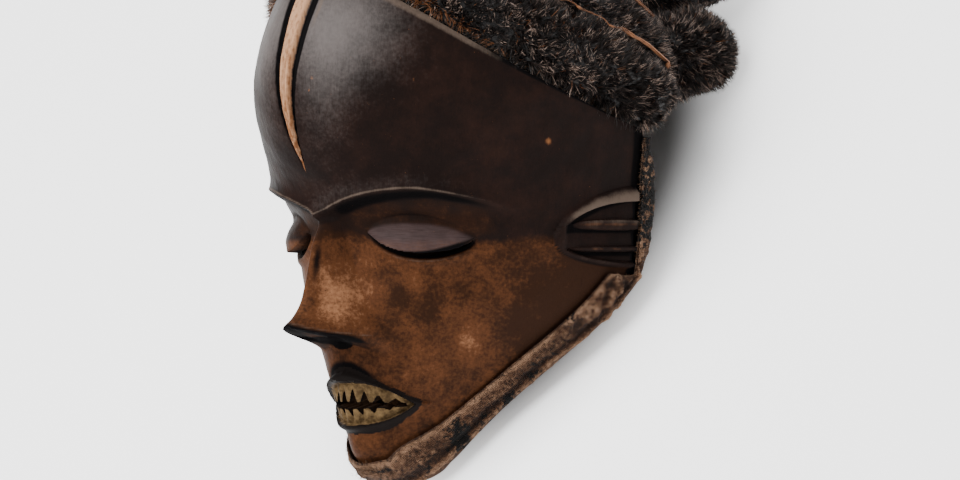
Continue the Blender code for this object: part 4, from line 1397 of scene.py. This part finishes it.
        hair = -HEAD.over_hairline(spots)
        part, top, bottom = CARVING.eye_edges(x)
        window = np.sqrt(np.maximum(1 - part**2, 0))
        below = bottom - y
        within = (y > bottom) & (y < top + 0.5) & (part**2 < 1)
        share = CARVING.nose_share(x, y)
        wing = CARVING.nose_base - 0.30 * across
        outer_top, outer_low, inner_top, inner_low = CARVING.mouth_edges(x)
        narrow = smooth((across - 12) / 14)
        lips = (y < outer_top + 0.8 - 1.0 * narrow) & (y > outer_low - 0.4 + 1.6 * narrow)
        lips &= (across < CARVING.mouth_outer - 0.8) & (z > 40)
        opening = (y < inner_top - 0.7) & (y > inner_low + 0.4)
        opening &= (across < CARVING.mouth_inner - 0.4) & (z > 40)
        _, side = CARVING.strip(x, y)
        strip = (y > CARVING.groove_foot + 0.5) & (z > 0)
        _, body, hollow = CARVING.ear_masks(HEAD.radius(angle, y) * np.cos(angle), y)
        ear = np.abs(angle) > 0.9
        store(face, "warm", warm * outside * (1 - 0.9 * ear * smooth(body * 2)))
        soot = 0.95 * bump_at(gap, -2.8, 2.3) * (1 - smooth((across - 58) / 22)) * smooth((across - 4) / 10)
        # Painted shade: black in the slit under each lid and in the crease above it
        soot = np.maximum(soot, np.sqrt(window) * bump_at(below, 1.2 - 0.5 * part, 2.0) * 1.15)
        soot = np.maximum(soot, 0.55 * window * bump_at(y - top, 0.6, 1.0))
        over_lip = y - outer_top
        philtrum = (1 - smooth((over_lip - 1.0) / 6.5)) * (over_lip > -1.5) * smooth((25 - across) / 16)
        soot = np.maximum(soot, 0.9 * philtrum * front * (y > CARVING.mouth_y))
        along_wing = bump_at(y - wing, -1.4, 3.0) * smooth((0.94 - share) / 0.22)
        soot = np.maximum(soot, 1.05 * along_wing * front)
        under = smooth((wing - 0.5 - y) / 1.5) * smooth((y - wing + 9.5) / 3.0) * smooth((0.84 - share) / 0.2)
        soot = np.maximum(soot, 0.60 * under * front)
        top_of_ear = CARVING.ear_edges(HEAD.radius(angle, y) * np.cos(angle))[1]
        soot = np.maximum(soot, ear * 0.30 * body * hollow)
        soot = np.maximum(soot, ear * 0.8 * bump_at(body, 0.45, 0.3) * smooth((6 - y) / 14))
        # Painted shade under the ear's bars and under its top rim
        under_bar = bump_at(y, 2.2, 1.6) + bump_at(y, -9.3, 1.3) + bump_at(y, top_of_ear - 5.6, 2.4)
        soot = np.maximum(soot, ear * hollow * np.clip(under_bar, 0, 1))
        soot = np.maximum(soot, smooth((np.abs(angle) - 1.535) / 0.03) * 0.9)
        beside_ridge = bump_at(x / along(CARVING.nose, 2, y), 0.24, 0.13)
        soot = np.maximum(soot, 0.75 * beside_ridge * bump_at(y, -13, 12) * front)
        # Painted shadow cast by the wig's front roll on the wood along the hairline
        soot = np.maximum(soot, 0.95 * (1 - smooth((hair - 0.4) / 1.8)) * smooth((lean + 40) / 40))
        soot = np.maximum(soot, 0.8 * (1 - smooth((hair - 0.1) / 0.5)))
        soot = soot * np.where(opening, 0.0, 1.0)
        store(face, "strip", 1.0 * (y > CARVING.groove_foot - 2) * (z > 0) * outside)
        store(face, "lip", 1.0 * lips * ~opening * outside)
        store(face, "crevice", CarvedFace.crevice_shading(face, spots))
        store(face, "soot", soot * outside)

        # Paler wood, partly wear and partly painted highlight: lines along the brow crest, the ears' upper
        # rims, the forehead strip's edge, the nose's wings and each lower lid's rim, and a band along the
        # hairline that fades away from the light
        worn = 0.85 * bump_at(gap, 0.5, 0.9) * (1 - smooth((across - 60) / 20))
        fade = 1 - smooth((lean + 30) / 75)
        worn = np.maximum(worn, 0.85 * (1 - smooth((hair - 1.0) / 1.5)) * fade)
        worn = np.maximum(worn, ear * body * (1 - hollow) * (0.34 + 0.80 * smooth((y - 4) / 8)))
        worn = np.maximum(worn, 0.62 * np.sqrt(window) * bump_at(below, 4.0, 1.1))
        worn = np.maximum(worn, 0.8 * strip * bump_at(side, 1.25, 0.16) * smooth((y - 92) / 18) * (x > 0))
        worn = np.maximum(worn, 0.62 * bump_at(y - wing, 1.6, 1.0) * smooth((1.10 - share) / 0.25) * front)
        store(face, "worn", worn * outside * np.where(opening, 0.0, 1.0))

        bare = np.zeros_like(x)
        for there, height, size in BARE_CHIPS:
            bare = np.maximum(bare, np.exp(-((lean - there) ** 2 + (y - height) ** 2) / size**2) * (x > 0))
        bar = ear * body * (1 - hollow) * (bump_at(y, 5.25, 1.6) + bump_at(y, -6.95, 1.2))
        bare = np.maximum(bare, 0.50 * bar * smooth((40 - z) / 4))
        nose_ridge = bump_at(share, 0, 0.28) * smooth((-18 - y) / 10) * (y > -40) * front
        bare = np.maximum(bare, 0.55 * nose_ridge)
        store(face, "bare", bare * outside)
        # Painted sheen: the forehead and brows are lightened as if by the light's reflection
        bloom = np.exp(-((lean + 104) / 44) ** 2 - ((y - 104) / 30) ** 2)
        bloom = bloom + 0.35 * np.exp(-((lean + 118) / 22) ** 2 - ((y - 70) / 40) ** 2)
        bloom = bloom + 0.24 * bump_at(gap, 4, 6) * (1 - smooth((across - 52) / 24)) * smooth((x + 12) / 16)
        store(face, "bloom", bloom * outside)
        # Painted sheen on the near lids, where their tops face the light
        soft_top = smooth((top + 0.3 - y) / 3.2)
        store(face, "lid", 0.95 * within * soft_top * smooth((lift + 0.5) / 2.0) * outside * (x > 0))
        store(face, "tooth", 1.0 * opening * outside)
        store(face, "inside", 1.0 - outside)


@dataclass
class PileCoat:
    """Short fibres over the rolls, the crown and the lobes of the wig."""

    counts: Dict[str, int] = field(
        default_factory=lambda: {
            "wig_roll_1": 38000,
            "wig_roll_2": 30000,
            "wig_roll_3": 19000,
            "wig_crown": 19000,
            "wig_bun_lower_left": 10500,
            "wig_bun_lower_right": 10500,
            "wig_bun_upper_left": 12500,
            "wig_bun_upper_right": 12500,
        }
    )
    voxel: float = 0.0025
    inset: float = 0.0022
    length: Tuple[float, float] = (0.0046, 0.0088)
    thickness: float = 0.00034

    def body(self, node: bpy.types.Object, name: str) -> bpy.types.Object:
        """The soft core of a part of the wig: a rounded copy of its solid."""
        made = bpy.data.objects.new(name, node.data.copy())
        bpy.context.scene.collection.objects.link(made)
        select_only(made)
        bpy.ops.object.mode_set(mode="EDIT")
        bpy.ops.mesh.select_all(action="SELECT")
        bpy.ops.mesh.remove_doubles(threshold=0.00002)
        bpy.ops.object.mode_set(mode="OBJECT")
        remesh = made.modifiers.new("even", "REMESH")
        remesh.mode = "VOXEL"
        remesh.voxel_size = self.voxel
        relax = made.modifiers.new("relax", "SMOOTH")
        relax.factor = 0.5
        relax.iterations = 4
        apply_modifiers(made)
        return made

    @staticmethod
    def surface(made: bpy.types.Object) -> Tuple[np.ndarray, np.ndarray, np.ndarray]:
        """Points, outward directions and triangles of a mesh."""
        mesh = made.data
        mesh.calc_loop_triangles()
        spots = read_spots(made)
        normals = np.empty(len(spots) * 3, np.float32)
        mesh.vertices.foreach_get("normal", normals)
        corners = np.empty(len(mesh.loop_triangles) * 3, np.int32)
        mesh.loop_triangles.foreach_get("vertices", corners)
        return spots, normals.reshape(-1, 3).astype(float), corners.reshape(-1, 3)

    def fibres(
        self, made: bpy.types.Object, count: int, lobe: bool, seed: int
    ) -> Tuple[np.ndarray, np.ndarray]:
        """Spikes that grow from a body, in clumps.

        Args:
            made: The body that they grow from.
            count: How many there are.
            lobe: Whether the body is one of the lobes.
            seed: Start of the random numbers.

        Returns:
            Four points a spike, and a tone a spike.
        """
        rng = np.random.default_rng(seed)
        spots, normals, triangles = self.surface(made)
        a, b, c = (spots[triangles[:, k]] for k in range(3))
        centre = (a + b + c) / 3
        flat = np.cross(b - a, c - a)
        area = np.linalg.norm(flat, axis=1)
        facing = flat / np.maximum(area, 1e-15)[:, None]
        pivot = POSE.lay(np.array([[0.0, HEAD.pivot_y, HEAD.pivot_z]]))[0]
        outward = np.sum(facing * unit(centre - pivot), axis=1)
        area = area * np.where(outward > (-0.55 if lobe else 0.05), 1.0, 0.0)
        area = area * np.where((centre[:, 2] < 0.003) & (facing[:, 2] < -0.6), 0.15, 1.0)
        pick = rng.choice(len(area), size=count, p=area / area.sum())
        first, second = rng.random(count), rng.random(count)
        fold = first + second > 1
        first, second = np.where(fold, 1 - first, first), np.where(fold, 1 - second, second)
        root = a[pick] + (b[pick] - a[pick]) * first[:, None] + (c[pick] - a[pick]) * second[:, None]
        third = (1 - first - second)[:, None]
        corners = triangles[pick]
        normal = unit(
            normals[corners[:, 0]] * third
            + normals[corners[:, 1]] * first[:, None]
            + normals[corners[:, 2]] * second[:, None]
        )
        long = rng.uniform(*self.length, count) * (0.85 + 0.3 * ripple(root, 0.03, seed + 3))
        centres = root[: max(count // 26, 8)]
        tree = KDTree(len(centres))
        for index, spot in enumerate(centres):
            tree.insert(spot, index)
        tree.balance()
        nearest = np.array([tree.find(spot)[1] for spot in root])
        lean = rng.normal(size=(len(centres), 3)) * 0.75
        meet = centres[nearest] + normal * self.length[1] * 1.1 + lean[nearest] * self.length[1] * 0.5
        stray = rng.normal(size=(count, 3)) * 0.33
        away = unit(normal * 0.62 + stray + unit(meet - root) * 0.62 + lean[nearest] * 0.3)
        root = root - normal * self.inset
        tip = root + away * long[:, None]
        tip[:, 2] = np.maximum(tip[:, 2], 0.0004)
        side = unit(np.cross(away, rng.normal(size=(count, 3))))
        other = np.cross(away, side)
        thick = self.thickness * rng.uniform(0.7, 1.3, count)[:, None]
        corners = np.stack(
            (
                root + side * thick,
                root - side * thick * 0.5 + other * thick * 0.87,
                root - side * thick * 0.5 - other * thick * 0.87,
                tip,
            ),
            axis=1,
        )
        corners[:, :, 2] = np.maximum(corners[:, :, 2], 0.0003)
        clump_tone = rng.uniform(-0.28, 0.28, len(centres))[nearest]
        return corners, np.clip(rng.random(count) ** 1.4 + clump_tone, 0, 1.2)

    def build(self, name: str, node: bpy.types.Object, seed: int) -> bpy.types.Object:
        """One part of the wig with its fibres.

        Args:
            name: Name of the solid that it stands for.
            node: That solid.
            seed: Start of the random numbers.

        Returns:
            The piece.
        """
        made = self.body(node, name + "_pile")
        corners, tone = self.fibres(made, self.counts[name], "bun" in name, seed)
        spots, normals, _ = self.surface(made)
        lumps = ripple(spots, 0.006, seed + 1) * 0.0006
        inner = spots - normals * (self.inset * 0.75 - lumps)[:, None]
        inner[:, 2] = np.maximum(inner[:, 2], 0.0004)
        write_spots(made, inner)
        numbers = np.arange(len(corners) * 4).reshape(-1, 4)
        faces = np.concatenate([numbers[:, side_corners] for side_corners in SPIKE_SIDES])
        coat = mesh_piece(name + "_fibres", corners.reshape(-1, 3), faces)
        strand = np.repeat(tone[:, None] * 0.70, 4, axis=1)
        # The tip of each spike is paler, partly as a painted strand highlight
        strand[:, 3] += 0.55 * tone + 0.10
        drawn = POSE.lift(corners[:, 0])
        edge = HEAD.over_hairline(drawn)
        random = np.random.default_rng(seed + 5).random(len(tone))
        thread = (random < 0.012) | ((edge < 3.4) & (random < 0.5) & (name == "wig_roll_1"))
        store(made, "strand", np.zeros(len(spots)))
        store(made, "thread", np.zeros(len(spots)))
        store(coat, "strand", strand.ravel())
        store(coat, "thread", np.repeat(thread.astype(float), 4))
        join(made, [coat])
        made.data.shade_flat()
        return made


@dataclass
class WigLining:
    """The netted cap that the pile is sewn to, seen from inside."""

    columns: int = 96
    rows: int = 56

    def build(self) -> bpy.types.Object:
        """Two close sheets sewn along their edges."""
        share = np.linspace(-1, 1, self.columns + 1)
        tilt = WIG.end * (1.2 * share - 0.2 * share**3)
        reach = 100 * np.maximum(np.cos(tilt), 0.08)
        start = HEAD.hairline(WIG.half * np.sin(tilt)) + WIG.seat / reach
        end = math.radians(WIG.nape) - WIG.seat / reach
        across = np.linspace(0, 1, self.rows + 1)
        bearing = start[:, None] + (end - start)[:, None] * across[None, :]
        tilts = np.repeat(tilt[:, None], self.rows + 1, axis=1)
        base = WIG.spot(tilts, bearing, np.zeros_like(tilts))
        dent = 0.5 * ripple(base, 26, 21) + 0.22 * ripple(base, 4, 22)
        low = WIG.spot(tilts, bearing, 0.5 + dent * 0.8)
        high = WIG.spot(tilts, bearing, np.full_like(tilts, WIG.cap_thickness))
        top = CarvedFace.draped("wig_lining", high)
        bottom = CarvedFace.draped("wig_lining_inside", low)
        select_only(bottom)
        bpy.ops.object.mode_set(mode="EDIT")
        bpy.ops.mesh.select_all(action="SELECT")
        bpy.ops.mesh.flip_normals()
        bpy.ops.object.mode_set(mode="OBJECT")
        made = join(top, [bottom])
        bpy.ops.object.mode_set(mode="EDIT")
        bpy.ops.mesh.select_mode(type="EDGE")
        bpy.ops.mesh.select_all(action="DESELECT")
        bpy.ops.mesh.select_non_manifold(extend=False, use_boundary=True, use_wire=False,
                                         use_multi_face=False, use_non_contiguous=False, use_verts=False)
        bpy.ops.mesh.bridge_edge_loops()
        bpy.ops.mesh.select_all(action="SELECT")
        bpy.ops.mesh.normals_make_consistent(inside=False)
        bpy.ops.object.mode_set(mode="OBJECT")
        write_spots(made, POSE.lay(read_spots(made)))
        made.data.shade_smooth()
        return made


@dataclass
class RimBand:
    """The woven strip folded over the rim of the face from ear to ear."""

    clear: float = 1.5
    thickness: float = 3.0
    flap: float = 11.5
    inner_flap: float = 8.0
    ear_depth: float = 7.0
    stations: int = 420
    around: int = 65
    floor: float = 0.0

    def path(self) -> Tuple[np.ndarray, np.ndarray]:
        """Bearings and heights down one back edge, along the jaw and up the other."""
        share = np.linspace(-1, 1, 1200)
        angle = HEAD.back_angle * (0.62 * share + 0.38 * share**3)
        low, _ = HEAD.ends(angle, HEAD.radius, HEAD.chin_floor)
        climb = np.linspace(HEAD.pivot_y - 1.5, low[0], 120)[:-1]
        angles = np.concatenate((np.full(len(climb), angle[0]), angle, np.full(len(climb), angle[-1])))
        heights = np.concatenate((climb, low, climb[::-1]))
        spots = HEAD.spot(angles, heights, HEAD.radius(angles, heights))
        length = np.concatenate(([0], np.cumsum(np.linalg.norm(np.diff(spots, axis=0), axis=1))))
        even = np.linspace(0, length[-1], self.stations)
        return np.interp(even, length, angles), np.interp(even, length, heights)

    def rings(self) -> Tuple[np.ndarray, np.ndarray]:
        """Section of the band at each station.

        Returns:
            Points by station and place round the section, and how far each station is from the ear strips.
        """
        angle, height = self.path()
        outer = HEAD.spot(angle, height, HEAD.radius(angle, height))
        blend = smooth((-14.0 - height) / 12.0)
        jaw_away = unit(np.array((0, -HEAD.jaw_slope, -1.0)))
        away = unit(np.array((0, 0, -1.0)) * (1 - blend)[:, None] + jaw_away * blend[:, None])
        thick = self.thickness * (0.45 + 0.55 * blend)
        bulge = 0.35 + 0.95 * np.clip(1 - ((height - 14) / 34) ** 2, 0, 1) ** 0.7
        cover = self.ear_depth * bulge * (1 - blend) + self.thickness * blend
        room = (-19.0 - height) / -jaw_away[1]
        across = np.abs(outer[:, 0])
        chin = 2.5 * bump_at(across, 0, 30) + 6.0 * bump_at(across, 17, 12)
        flap = np.maximum(np.minimum(self.flap * 1.1 + chin * blend, room), 1.2)
        inner_flap = self.inner_flap * (0.35 + 0.65 * blend)
        normal = HEAD.facing(HEAD.radius, outer)
        level = unit(away - normal * np.sum(away * normal, axis=1)[:, None])
        inner = HEAD.settle(HEAD.inner_radius, outer - level * blend[:, None])
        inner_normal = HEAD.facing(HEAD.inner_radius, inner)
        middle, middle_normal = HEAD.walk(HEAD.radius, outer, away, flap / 2)
        end, end_normal = HEAD.walk(HEAD.radius, outer, away, flap)
        deep, deep_normal = HEAD.walk(HEAD.inner_radius, inner, away, inner_flap)
        rise = (self.clear + thick)[:, None]
        thick, cover = thick[:, None], cover[:, None]
        point_up = 1 - smooth((height - 37) / 11)[:, None]
        cover = cover * (0.12 + 0.88 * point_up)
        section = (
            end + end_normal * (rise * 0.62),
            middle + middle_normal * (rise * 0.88),
            outer + normal * rise,
            outer + level * cover + normal * (thick * 0.6),
            (outer + inner) / 2 + level * (cover * 1.12),
            inner + level * cover - inner_normal * (thick * 0.6),
            inner - inner_normal * rise,
            deep - deep_normal * rise,
            deep - deep_normal * self.clear,
            inner + level * (self.clear * 2.5) - inner_normal * self.clear,
            outer + level * (self.clear * 2.5) + normal * self.clear,
            middle + middle_normal * self.clear,
            end + end_normal * self.clear,
        )
        return np.stack(section, axis=1), blend

    def build(self) -> bpy.types.Object:
        """Band with rounded folds, creases, a weave map and frayed edges."""
        coarse, blend = self.rings()
        corners = coarse.shape[1]
        place = np.linspace(0, corners, self.around, endpoint=False)
        index = np.floor(place).astype(int)
        part = (place - index)[None, :, None]
        before, here, after, last = (coarse[:, (index + k) % corners] for k in (-1, 0, 1, 2))
        straight = here * (1 - part) + after * part
        curved = 0.5 * (
            2 * here
            + (after - before) * part
            + (2 * before - 5 * here + 4 * after - last) * part**2
            + (3 * here - before - 3 * after + last) * part**3
        )
        spots = straight * 0.2 + curved * 0.8
        ahead = np.gradient(spots, axis=0)
        round_way = np.roll(spots, -1, axis=1) - np.roll(spots, 1, axis=1)
        normal = unit(np.cross(round_way, ahead))
        middle = spots.mean(axis=1, keepdims=True)
        normal *= np.where(np.sum(normal * (spots - middle)) > 0, 1.0, -1.0)
        outside = bump_at(place, 1.6, 1.9)[None, :] + 0.35 * bump_at(place, 5.2, 1.8)[None, :]
        gather = bump_at(spots[..., 1], -30, 14) * (np.abs(spots[..., 0]) > 70)
        wave = ripple(spots, 13, 31) * 0.45 + ripple(spots, 2.6, 32) * 0.34 + ripple(spots, 5.0, 35) * 0.25
        crease = 1.3 * ripple(spots * np.array((1, 0.6, 1.0)), 4.5, 33) * gather
        line = place[None, :] + 0.20 * ripple(spots, 40, 34) - 0.4 * gather
        groove = bump_at(line, 1.45, 0.16) * blend[:, None]
        hem = 0.45 * bump_at(place[None, :], 0.25, 0.28) + 0.7 * bump_at(line, 2.0, 0.35) * blend[:, None]
        spots = spots + normal * ((wave + crease - 1.1 * groove + hem) * outside)[..., None]
        fold = 0.9 * bump_at(place[None, :], 0.1, 0.30) + 0.6 * bump_at(line, 2.1, 0.4)
        # Painted shade: the pressed groove is darker
        fold = fold + 0.5 * wave - 1.6 * groove
        fold = fold + 0.6 * crease
        flat_length = np.cumsum(np.linalg.norm(np.diff(spots[:, 0], axis=0, prepend=spots[:1, 0]), axis=1))
        girth = np.cumsum(np.linalg.norm(np.diff(spots, axis=1, prepend=spots[:, :1]), axis=2), axis=1)
        total = self.stations * self.around
        faces: List[Tuple[int, ...]] = []
        for station in range(self.stations - 1):
            low = station * self.around
            for spot in range(self.around):
                after_spot = (spot + 1) % self.around
                high = low + self.around
                faces.append((low + spot, low + after_spot, high + after_spot, high + spot))
        faces.append(tuple(range(self.around - 1, -1, -1)))
        faces.append(tuple(range(total - self.around, total)))
        made = mesh_piece("rim_textile_band", spots.reshape(-1, 3), faces)
        store(made, "stain", self.stains(spots).ravel())
        store(made, "fold", np.broadcast_to(fold, spots.shape[:2]).ravel())
        self.weave_map(made, np.repeat(flat_length, self.around), girth.ravel())
        fray = self.fray(spots, normal)
        join(made, [fray])
        select_only(made)
        bpy.ops.object.mode_set(mode="EDIT")
        bpy.ops.mesh.select_all(action="SELECT")
        bpy.ops.mesh.normals_make_consistent(inside=False)
        bpy.ops.object.mode_set(mode="OBJECT")
        lying = POSE.lay(read_spots(made))
        lying[:, 2] = np.maximum(lying[:, 2], self.floor + 0.0001)
        write_spots(made, lying)
        made.data.shade_smooth()
        return made

    @staticmethod
    def stains(spots: np.ndarray) -> np.ndarray:
        """Where the strip is blackened."""
        lean = np.abs(spots[..., 0]) - spots[..., 2]
        height = spots[..., 1]
        total = 0.16 + 0.46 * smooth((height + 12) / 14)
        for there, level, size, gain in STAIN_PATCHES:
            total = total + gain * np.exp(-((lean - there) ** 2 + (height - level) ** 2) / size**2)
        return total

    @staticmethod
    def weave_map(made: bpy.types.Object, long: np.ndarray, girth: np.ndarray) -> None:
        """Lay the weave's map along and round the band, in millimetres."""
        layer = made.data.uv_layers.new(name="weave")
        corner = np.empty(len(made.data.loops), np.int32)
        made.data.loops.foreach_get("vertex_index", corner)
        flat = np.stack((long[corner], girth[corner]), axis=1)
        layer.data.foreach_set("uv", flat.astype(np.float32).ravel())

    def fray(self, spots: np.ndarray, normal: np.ndarray) -> bpy.types.Object:
        """Loose threads along the edges, and a tuft at the chin."""
        rng = np.random.default_rng(77)
        count = 5200
        station = rng.integers(1, self.stations - 1, count)
        place = np.abs(rng.normal(0, 4.0, count)).astype(int) % self.around
        place = np.where(rng.random(count) < 0.45, rng.integers(0, 22, count), place)
        root = spots[station, place] - normal[station, place] * 0.25
        chin = 260
        root[:chin] = spots[self.stations // 2, 2] + rng.normal(size=(chin, 3)) * np.array((3.0, 1.6, 1.2))
        way = unit(normal[station, place] * 0.75 + rng.normal(size=(count, 3)) * 0.8)
        way[:chin] = unit(rng.normal(size=(chin, 3)) * 0.7 + np.array((0, 0.35, 1.1)))
        long = rng.uniform(0.8, 2.2, count)
        long[:chin] = rng.uniform(2.0, 5.0, chin)
        side = unit(np.cross(way, rng.normal(size=(count, 3)))) * 0.11
        other = np.cross(way, side)
        corners = np.stack(
            (
                root + side,
                root - side * 0.5 + other * 0.87,
                root - side * 0.5 - other * 0.87,
                root + way * long[:, None],
            ),
            1,
        )
        numbers = np.arange(count * 4).reshape(-1, 4)
        faces = np.concatenate([numbers[:, side_corners] for side_corners in SPIKE_SIDES])
        made = mesh_piece("fray", corners.reshape(-1, 3), faces)
        store(made, "stain", np.zeros(count * 4))
        store(made, "fold", np.ones(count * 4))
        self.weave_map(made, corners.reshape(-1, 3)[:, 0], corners.reshape(-1, 3)[:, 1])
        return made


@dataclass
class RaffiaStitch:
    """A twisted strand of raffia in the valley between two rolls."""

    name: str
    level: float
    start: float
    end: float
    radius: float = 1.1
    count: int = 90
    sides: int = 8

    def path(self) -> np.ndarray:
        """Points along the valley, found by halving."""
        tilt = np.radians(np.linspace(self.start, self.end, self.count))
        low = np.full(self.count, WIG.roll_bearing)
        high = np.full(self.count, WIG.roll_bearing + math.radians(88))
        lift = WIG.cap_thickness + WIG.seat + 1.08 * WIG.roll_height + self.radius
        for _ in range(34):
            middle = (low + high) / 2
            past = WIG.above_hairline(WIG.spot(tilt, middle, np.full(self.count, lift))) > self.level
            high = np.where(past, middle, high)
            low = np.where(past, low, middle)
        return WIG.spot(tilt, (low + high) / 2, np.full(self.count, lift))

    def build(self) -> bpy.types.Object:
        """Three flat leaves twisted round each other, with split ends."""
        path = self.path()
        ahead = unit(np.gradient(path, axis=0))
        side = unit(np.cross(ahead, np.array((0.0, 1.0, 0.3))))
        other = np.cross(ahead, side)
        share = np.linspace(0, 1, self.count)
        strands = []
        for ply in range(3):
            turn = share * math.radians(900) + ply * math.radians(120)
            thick_turn = smooth((share - 0.80) / 0.05)
            swing = self.radius * (0.20 + 0.06 * np.sin(share * 17 + ply) + 0.36 * thick_turn)
            axis = path + (side * np.cos(turn)[:, None] + other * np.sin(turn)[:, None]) * swing[:, None]
            shift = 0.9 * ripple(path, 9, 60)[:, None] * other
            axis = axis + shift + 0.3 * ripple(axis, 5, 61 + ply)[:, None] * other
            ends = np.minimum(smooth(share / 0.05), smooth((1 - share) / 0.05))
            knots = 0.14 + 0.42 * np.maximum(np.sin(share * 26 + 1), 0) ** 14 + 0.40 * thick_turn
            thick = self.radius * knots * (0.25 + 0.75 * ends)
            rings = []
            for k in range(self.sides):
                way = 2 * math.pi * k / self.sides
                wide = side * math.cos(way) * 1.25 + other * math.sin(way) * 0.75
                rings.append(axis + wide * thick[:, None])
            spots = np.stack(rings, axis=1)
            faces: List[Tuple[int, ...]] = []
            for station in range(self.count - 1):
                low = station * self.sides
                for k in range(self.sides):
                    after = (k + 1) % self.sides
                    faces.append((low + k, low + after, low + self.sides + after, low + self.sides + k))
            faces.append(tuple(range(self.sides - 1, -1, -1)))
            faces.append(tuple(range((self.count - 1) * self.sides, self.count * self.sides)))
            strands.append(mesh_piece(self.name + "_strand", spots.reshape(-1, 3), faces))
        made = join(strands[0], strands[1:])
        made.name = self.name + "_strand"
        select_only(made)
        bpy.ops.object.mode_set(mode="EDIT")
        bpy.ops.mesh.select_all(action="SELECT")
        bpy.ops.mesh.normals_make_consistent(inside=False)
        bpy.ops.object.mode_set(mode="OBJECT")
        write_spots(made, POSE.lay(read_spots(made)))
        made.data.shade_smooth()
        return made


@dataclass
class Studio:
    """Pale floor, soft lights and the camera of the picture."""

    lens: float = 400.0
    width: float = 0.48
    aim: Tuple[float, float, float] = (-4.25, -2.5, 4.25)
    floor_tone: float = 0.93
    floor_glow: float = 1.45
    shade_inner: float = 0.55
    shade_outer: float = 1.15
    footprint: Tuple[float, float] = (0.105, 0.173)

    def floor(self) -> None:
        """A wide plain floor that glows, its glow fading out under and near the mask as a painted shadow."""
        bpy.ops.object.select_all(action="DESELECT")
        bpy.ops.mesh.primitive_plane_add(size=60.0, location=(0, 0, 0))
        plane = bpy.context.active_object
        plane.name = "studio_floor"
        paint = Painter("studio_floor_paper")
        grey = paint.mix(paint.noise(400, 2), (self.floor_tone,) * 3, (self.floor_tone * 0.985,) * 3)
        material = paint.finish(grey, 0.9, Specular_IOR_Level=0.1, Emission_Strength=self.floor_glow)
        # Painted shadow: the floor's glow fades to nothing under and near the mask
        away = paint.node("ShaderNodeVectorMath", {"operation": "LENGTH"})
        scaled = paint.node("ShaderNodeVectorMath", {"operation": "DIVIDE"})
        paint.feed(scaled.inputs[0], paint.lying)
        paint.feed(scaled.inputs[1], (*self.footprint, 1.0))
        paint.feed(away.inputs[0], scaled.outputs[0])
        far = Signal(paint.tree, away.outputs["Value"]).over(self.shade_inner, self.shade_outer)
        paint.feed(paint.shader.inputs["Emission Color"], paint.mix(far, (0.0, 0.0, 0.0), (1.0, 1.0, 1.0)))
        plane.data.materials.append(material)

    def axes(self) -> Tuple[np.ndarray, np.ndarray, np.ndarray]:
        """The picture's right, up and towards-the-camera directions."""
        turn = POSE.matrix()
        toward = turn @ unit(np.array((1.0, 0.0, 1.0)))
        up = turn @ np.array((0.0, 1.0, 0.0))
        return np.cross(up, toward), up, toward

    def camera(self) -> None:
        """The camera, turned so that the crown of the mask is up."""
        data = bpy.data.cameras.new("picture")
        data.lens = self.lens
        data.sensor_width = 36.0
        eye = bpy.data.objects.new("picture", data)
        bpy.context.scene.collection.objects.link(eye)
        right, up, toward = self.axes()
        centre = POSE.lay(np.array([self.aim]))[0]
        place = centre + toward * (self.width * self.lens / 36.0)
        turn = np.stack((right, up, toward), axis=1)
        eye.matrix_world = Matrix.Translation(Vector(place)) @ Matrix(turn.tolist()).to_4x4()
        bpy.context.scene.camera = eye

    def lamp(self, name: str, place: Tuple[float, float, float], power: float, size: float) -> None:
        """A square soft light aimed at the mask.

        Args:
            name: Name of the light.
            place: Where it hangs.
            power: Its strength in watts.
            size: Its edge.
        """
        data = bpy.data.lights.new(name, "AREA")
        data.energy = power
        data.size = size
        lamp = bpy.data.objects.new(name, data)
        bpy.context.scene.collection.objects.link(lamp)
        lamp.location = place
        lamp.rotation_euler = (Vector((0, 0, 0.08)) - Vector(place)).to_track_quat("-Z", "Y").to_euler()

    def lights(self) -> None:
        """One big soft box overhead, a weak fill, and pale surroundings."""
        world = bpy.data.worlds.new("studio")
        world.use_nodes = True
        world.node_tree.nodes["Background"].inputs[0].default_value = (1.0, 1.0, 1.0, 1.0)
        world.node_tree.nodes["Background"].inputs[1].default_value = 0.27
        bpy.context.scene.world = world
        self.lamp("overhead_box", (-0.18, -0.22, 1.6), 66.0, 1.7)
        self.lamp("front_fill", (-0.5, -1.8, 0.9), 7.0, 1.0)

    def build(self) -> None:
        """Set up floor, camera and lights."""
        self.floor()
        self.camera()
        self.lights()


def main() -> None:
    """Build the pieces in order and report each."""
    logging.basicConfig(level=logging.INFO, format="%(name)s %(message)s")
    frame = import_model()
    finishes = Finishes()
    dress(CarvedFace().build(), finishes.wood, Slot.WOOD, "carved_face")
    dress(WigLining().build(), finishes.lining, Slot.PILE, "wig_cap")
    coat = PileCoat()
    for seed, name in enumerate(coat.counts):
        piece = coat.build(name, frame["nodes"][name], 100 + seed * 7)
        dress(piece, finishes.pile, Slot.PILE, name)
    dress(RimBand().build(), finishes.textile, Slot.TEXTILE, "rim_band")
    for word, side in (("left", 1), ("right", -1)):
        for place, level, start, end in (("front", 40.0, 40, 62), ("back", 67.0, 20, 44)):
            name = f"raffia_stitch_{place}_{word}"
            stitch = RaffiaStitch(name, level, side * start, side * end)
            dress(stitch.build(), finishes.raffia, Slot.RAFFIA, name)
    Studio().build()


if __name__ == "__main__":
    main()
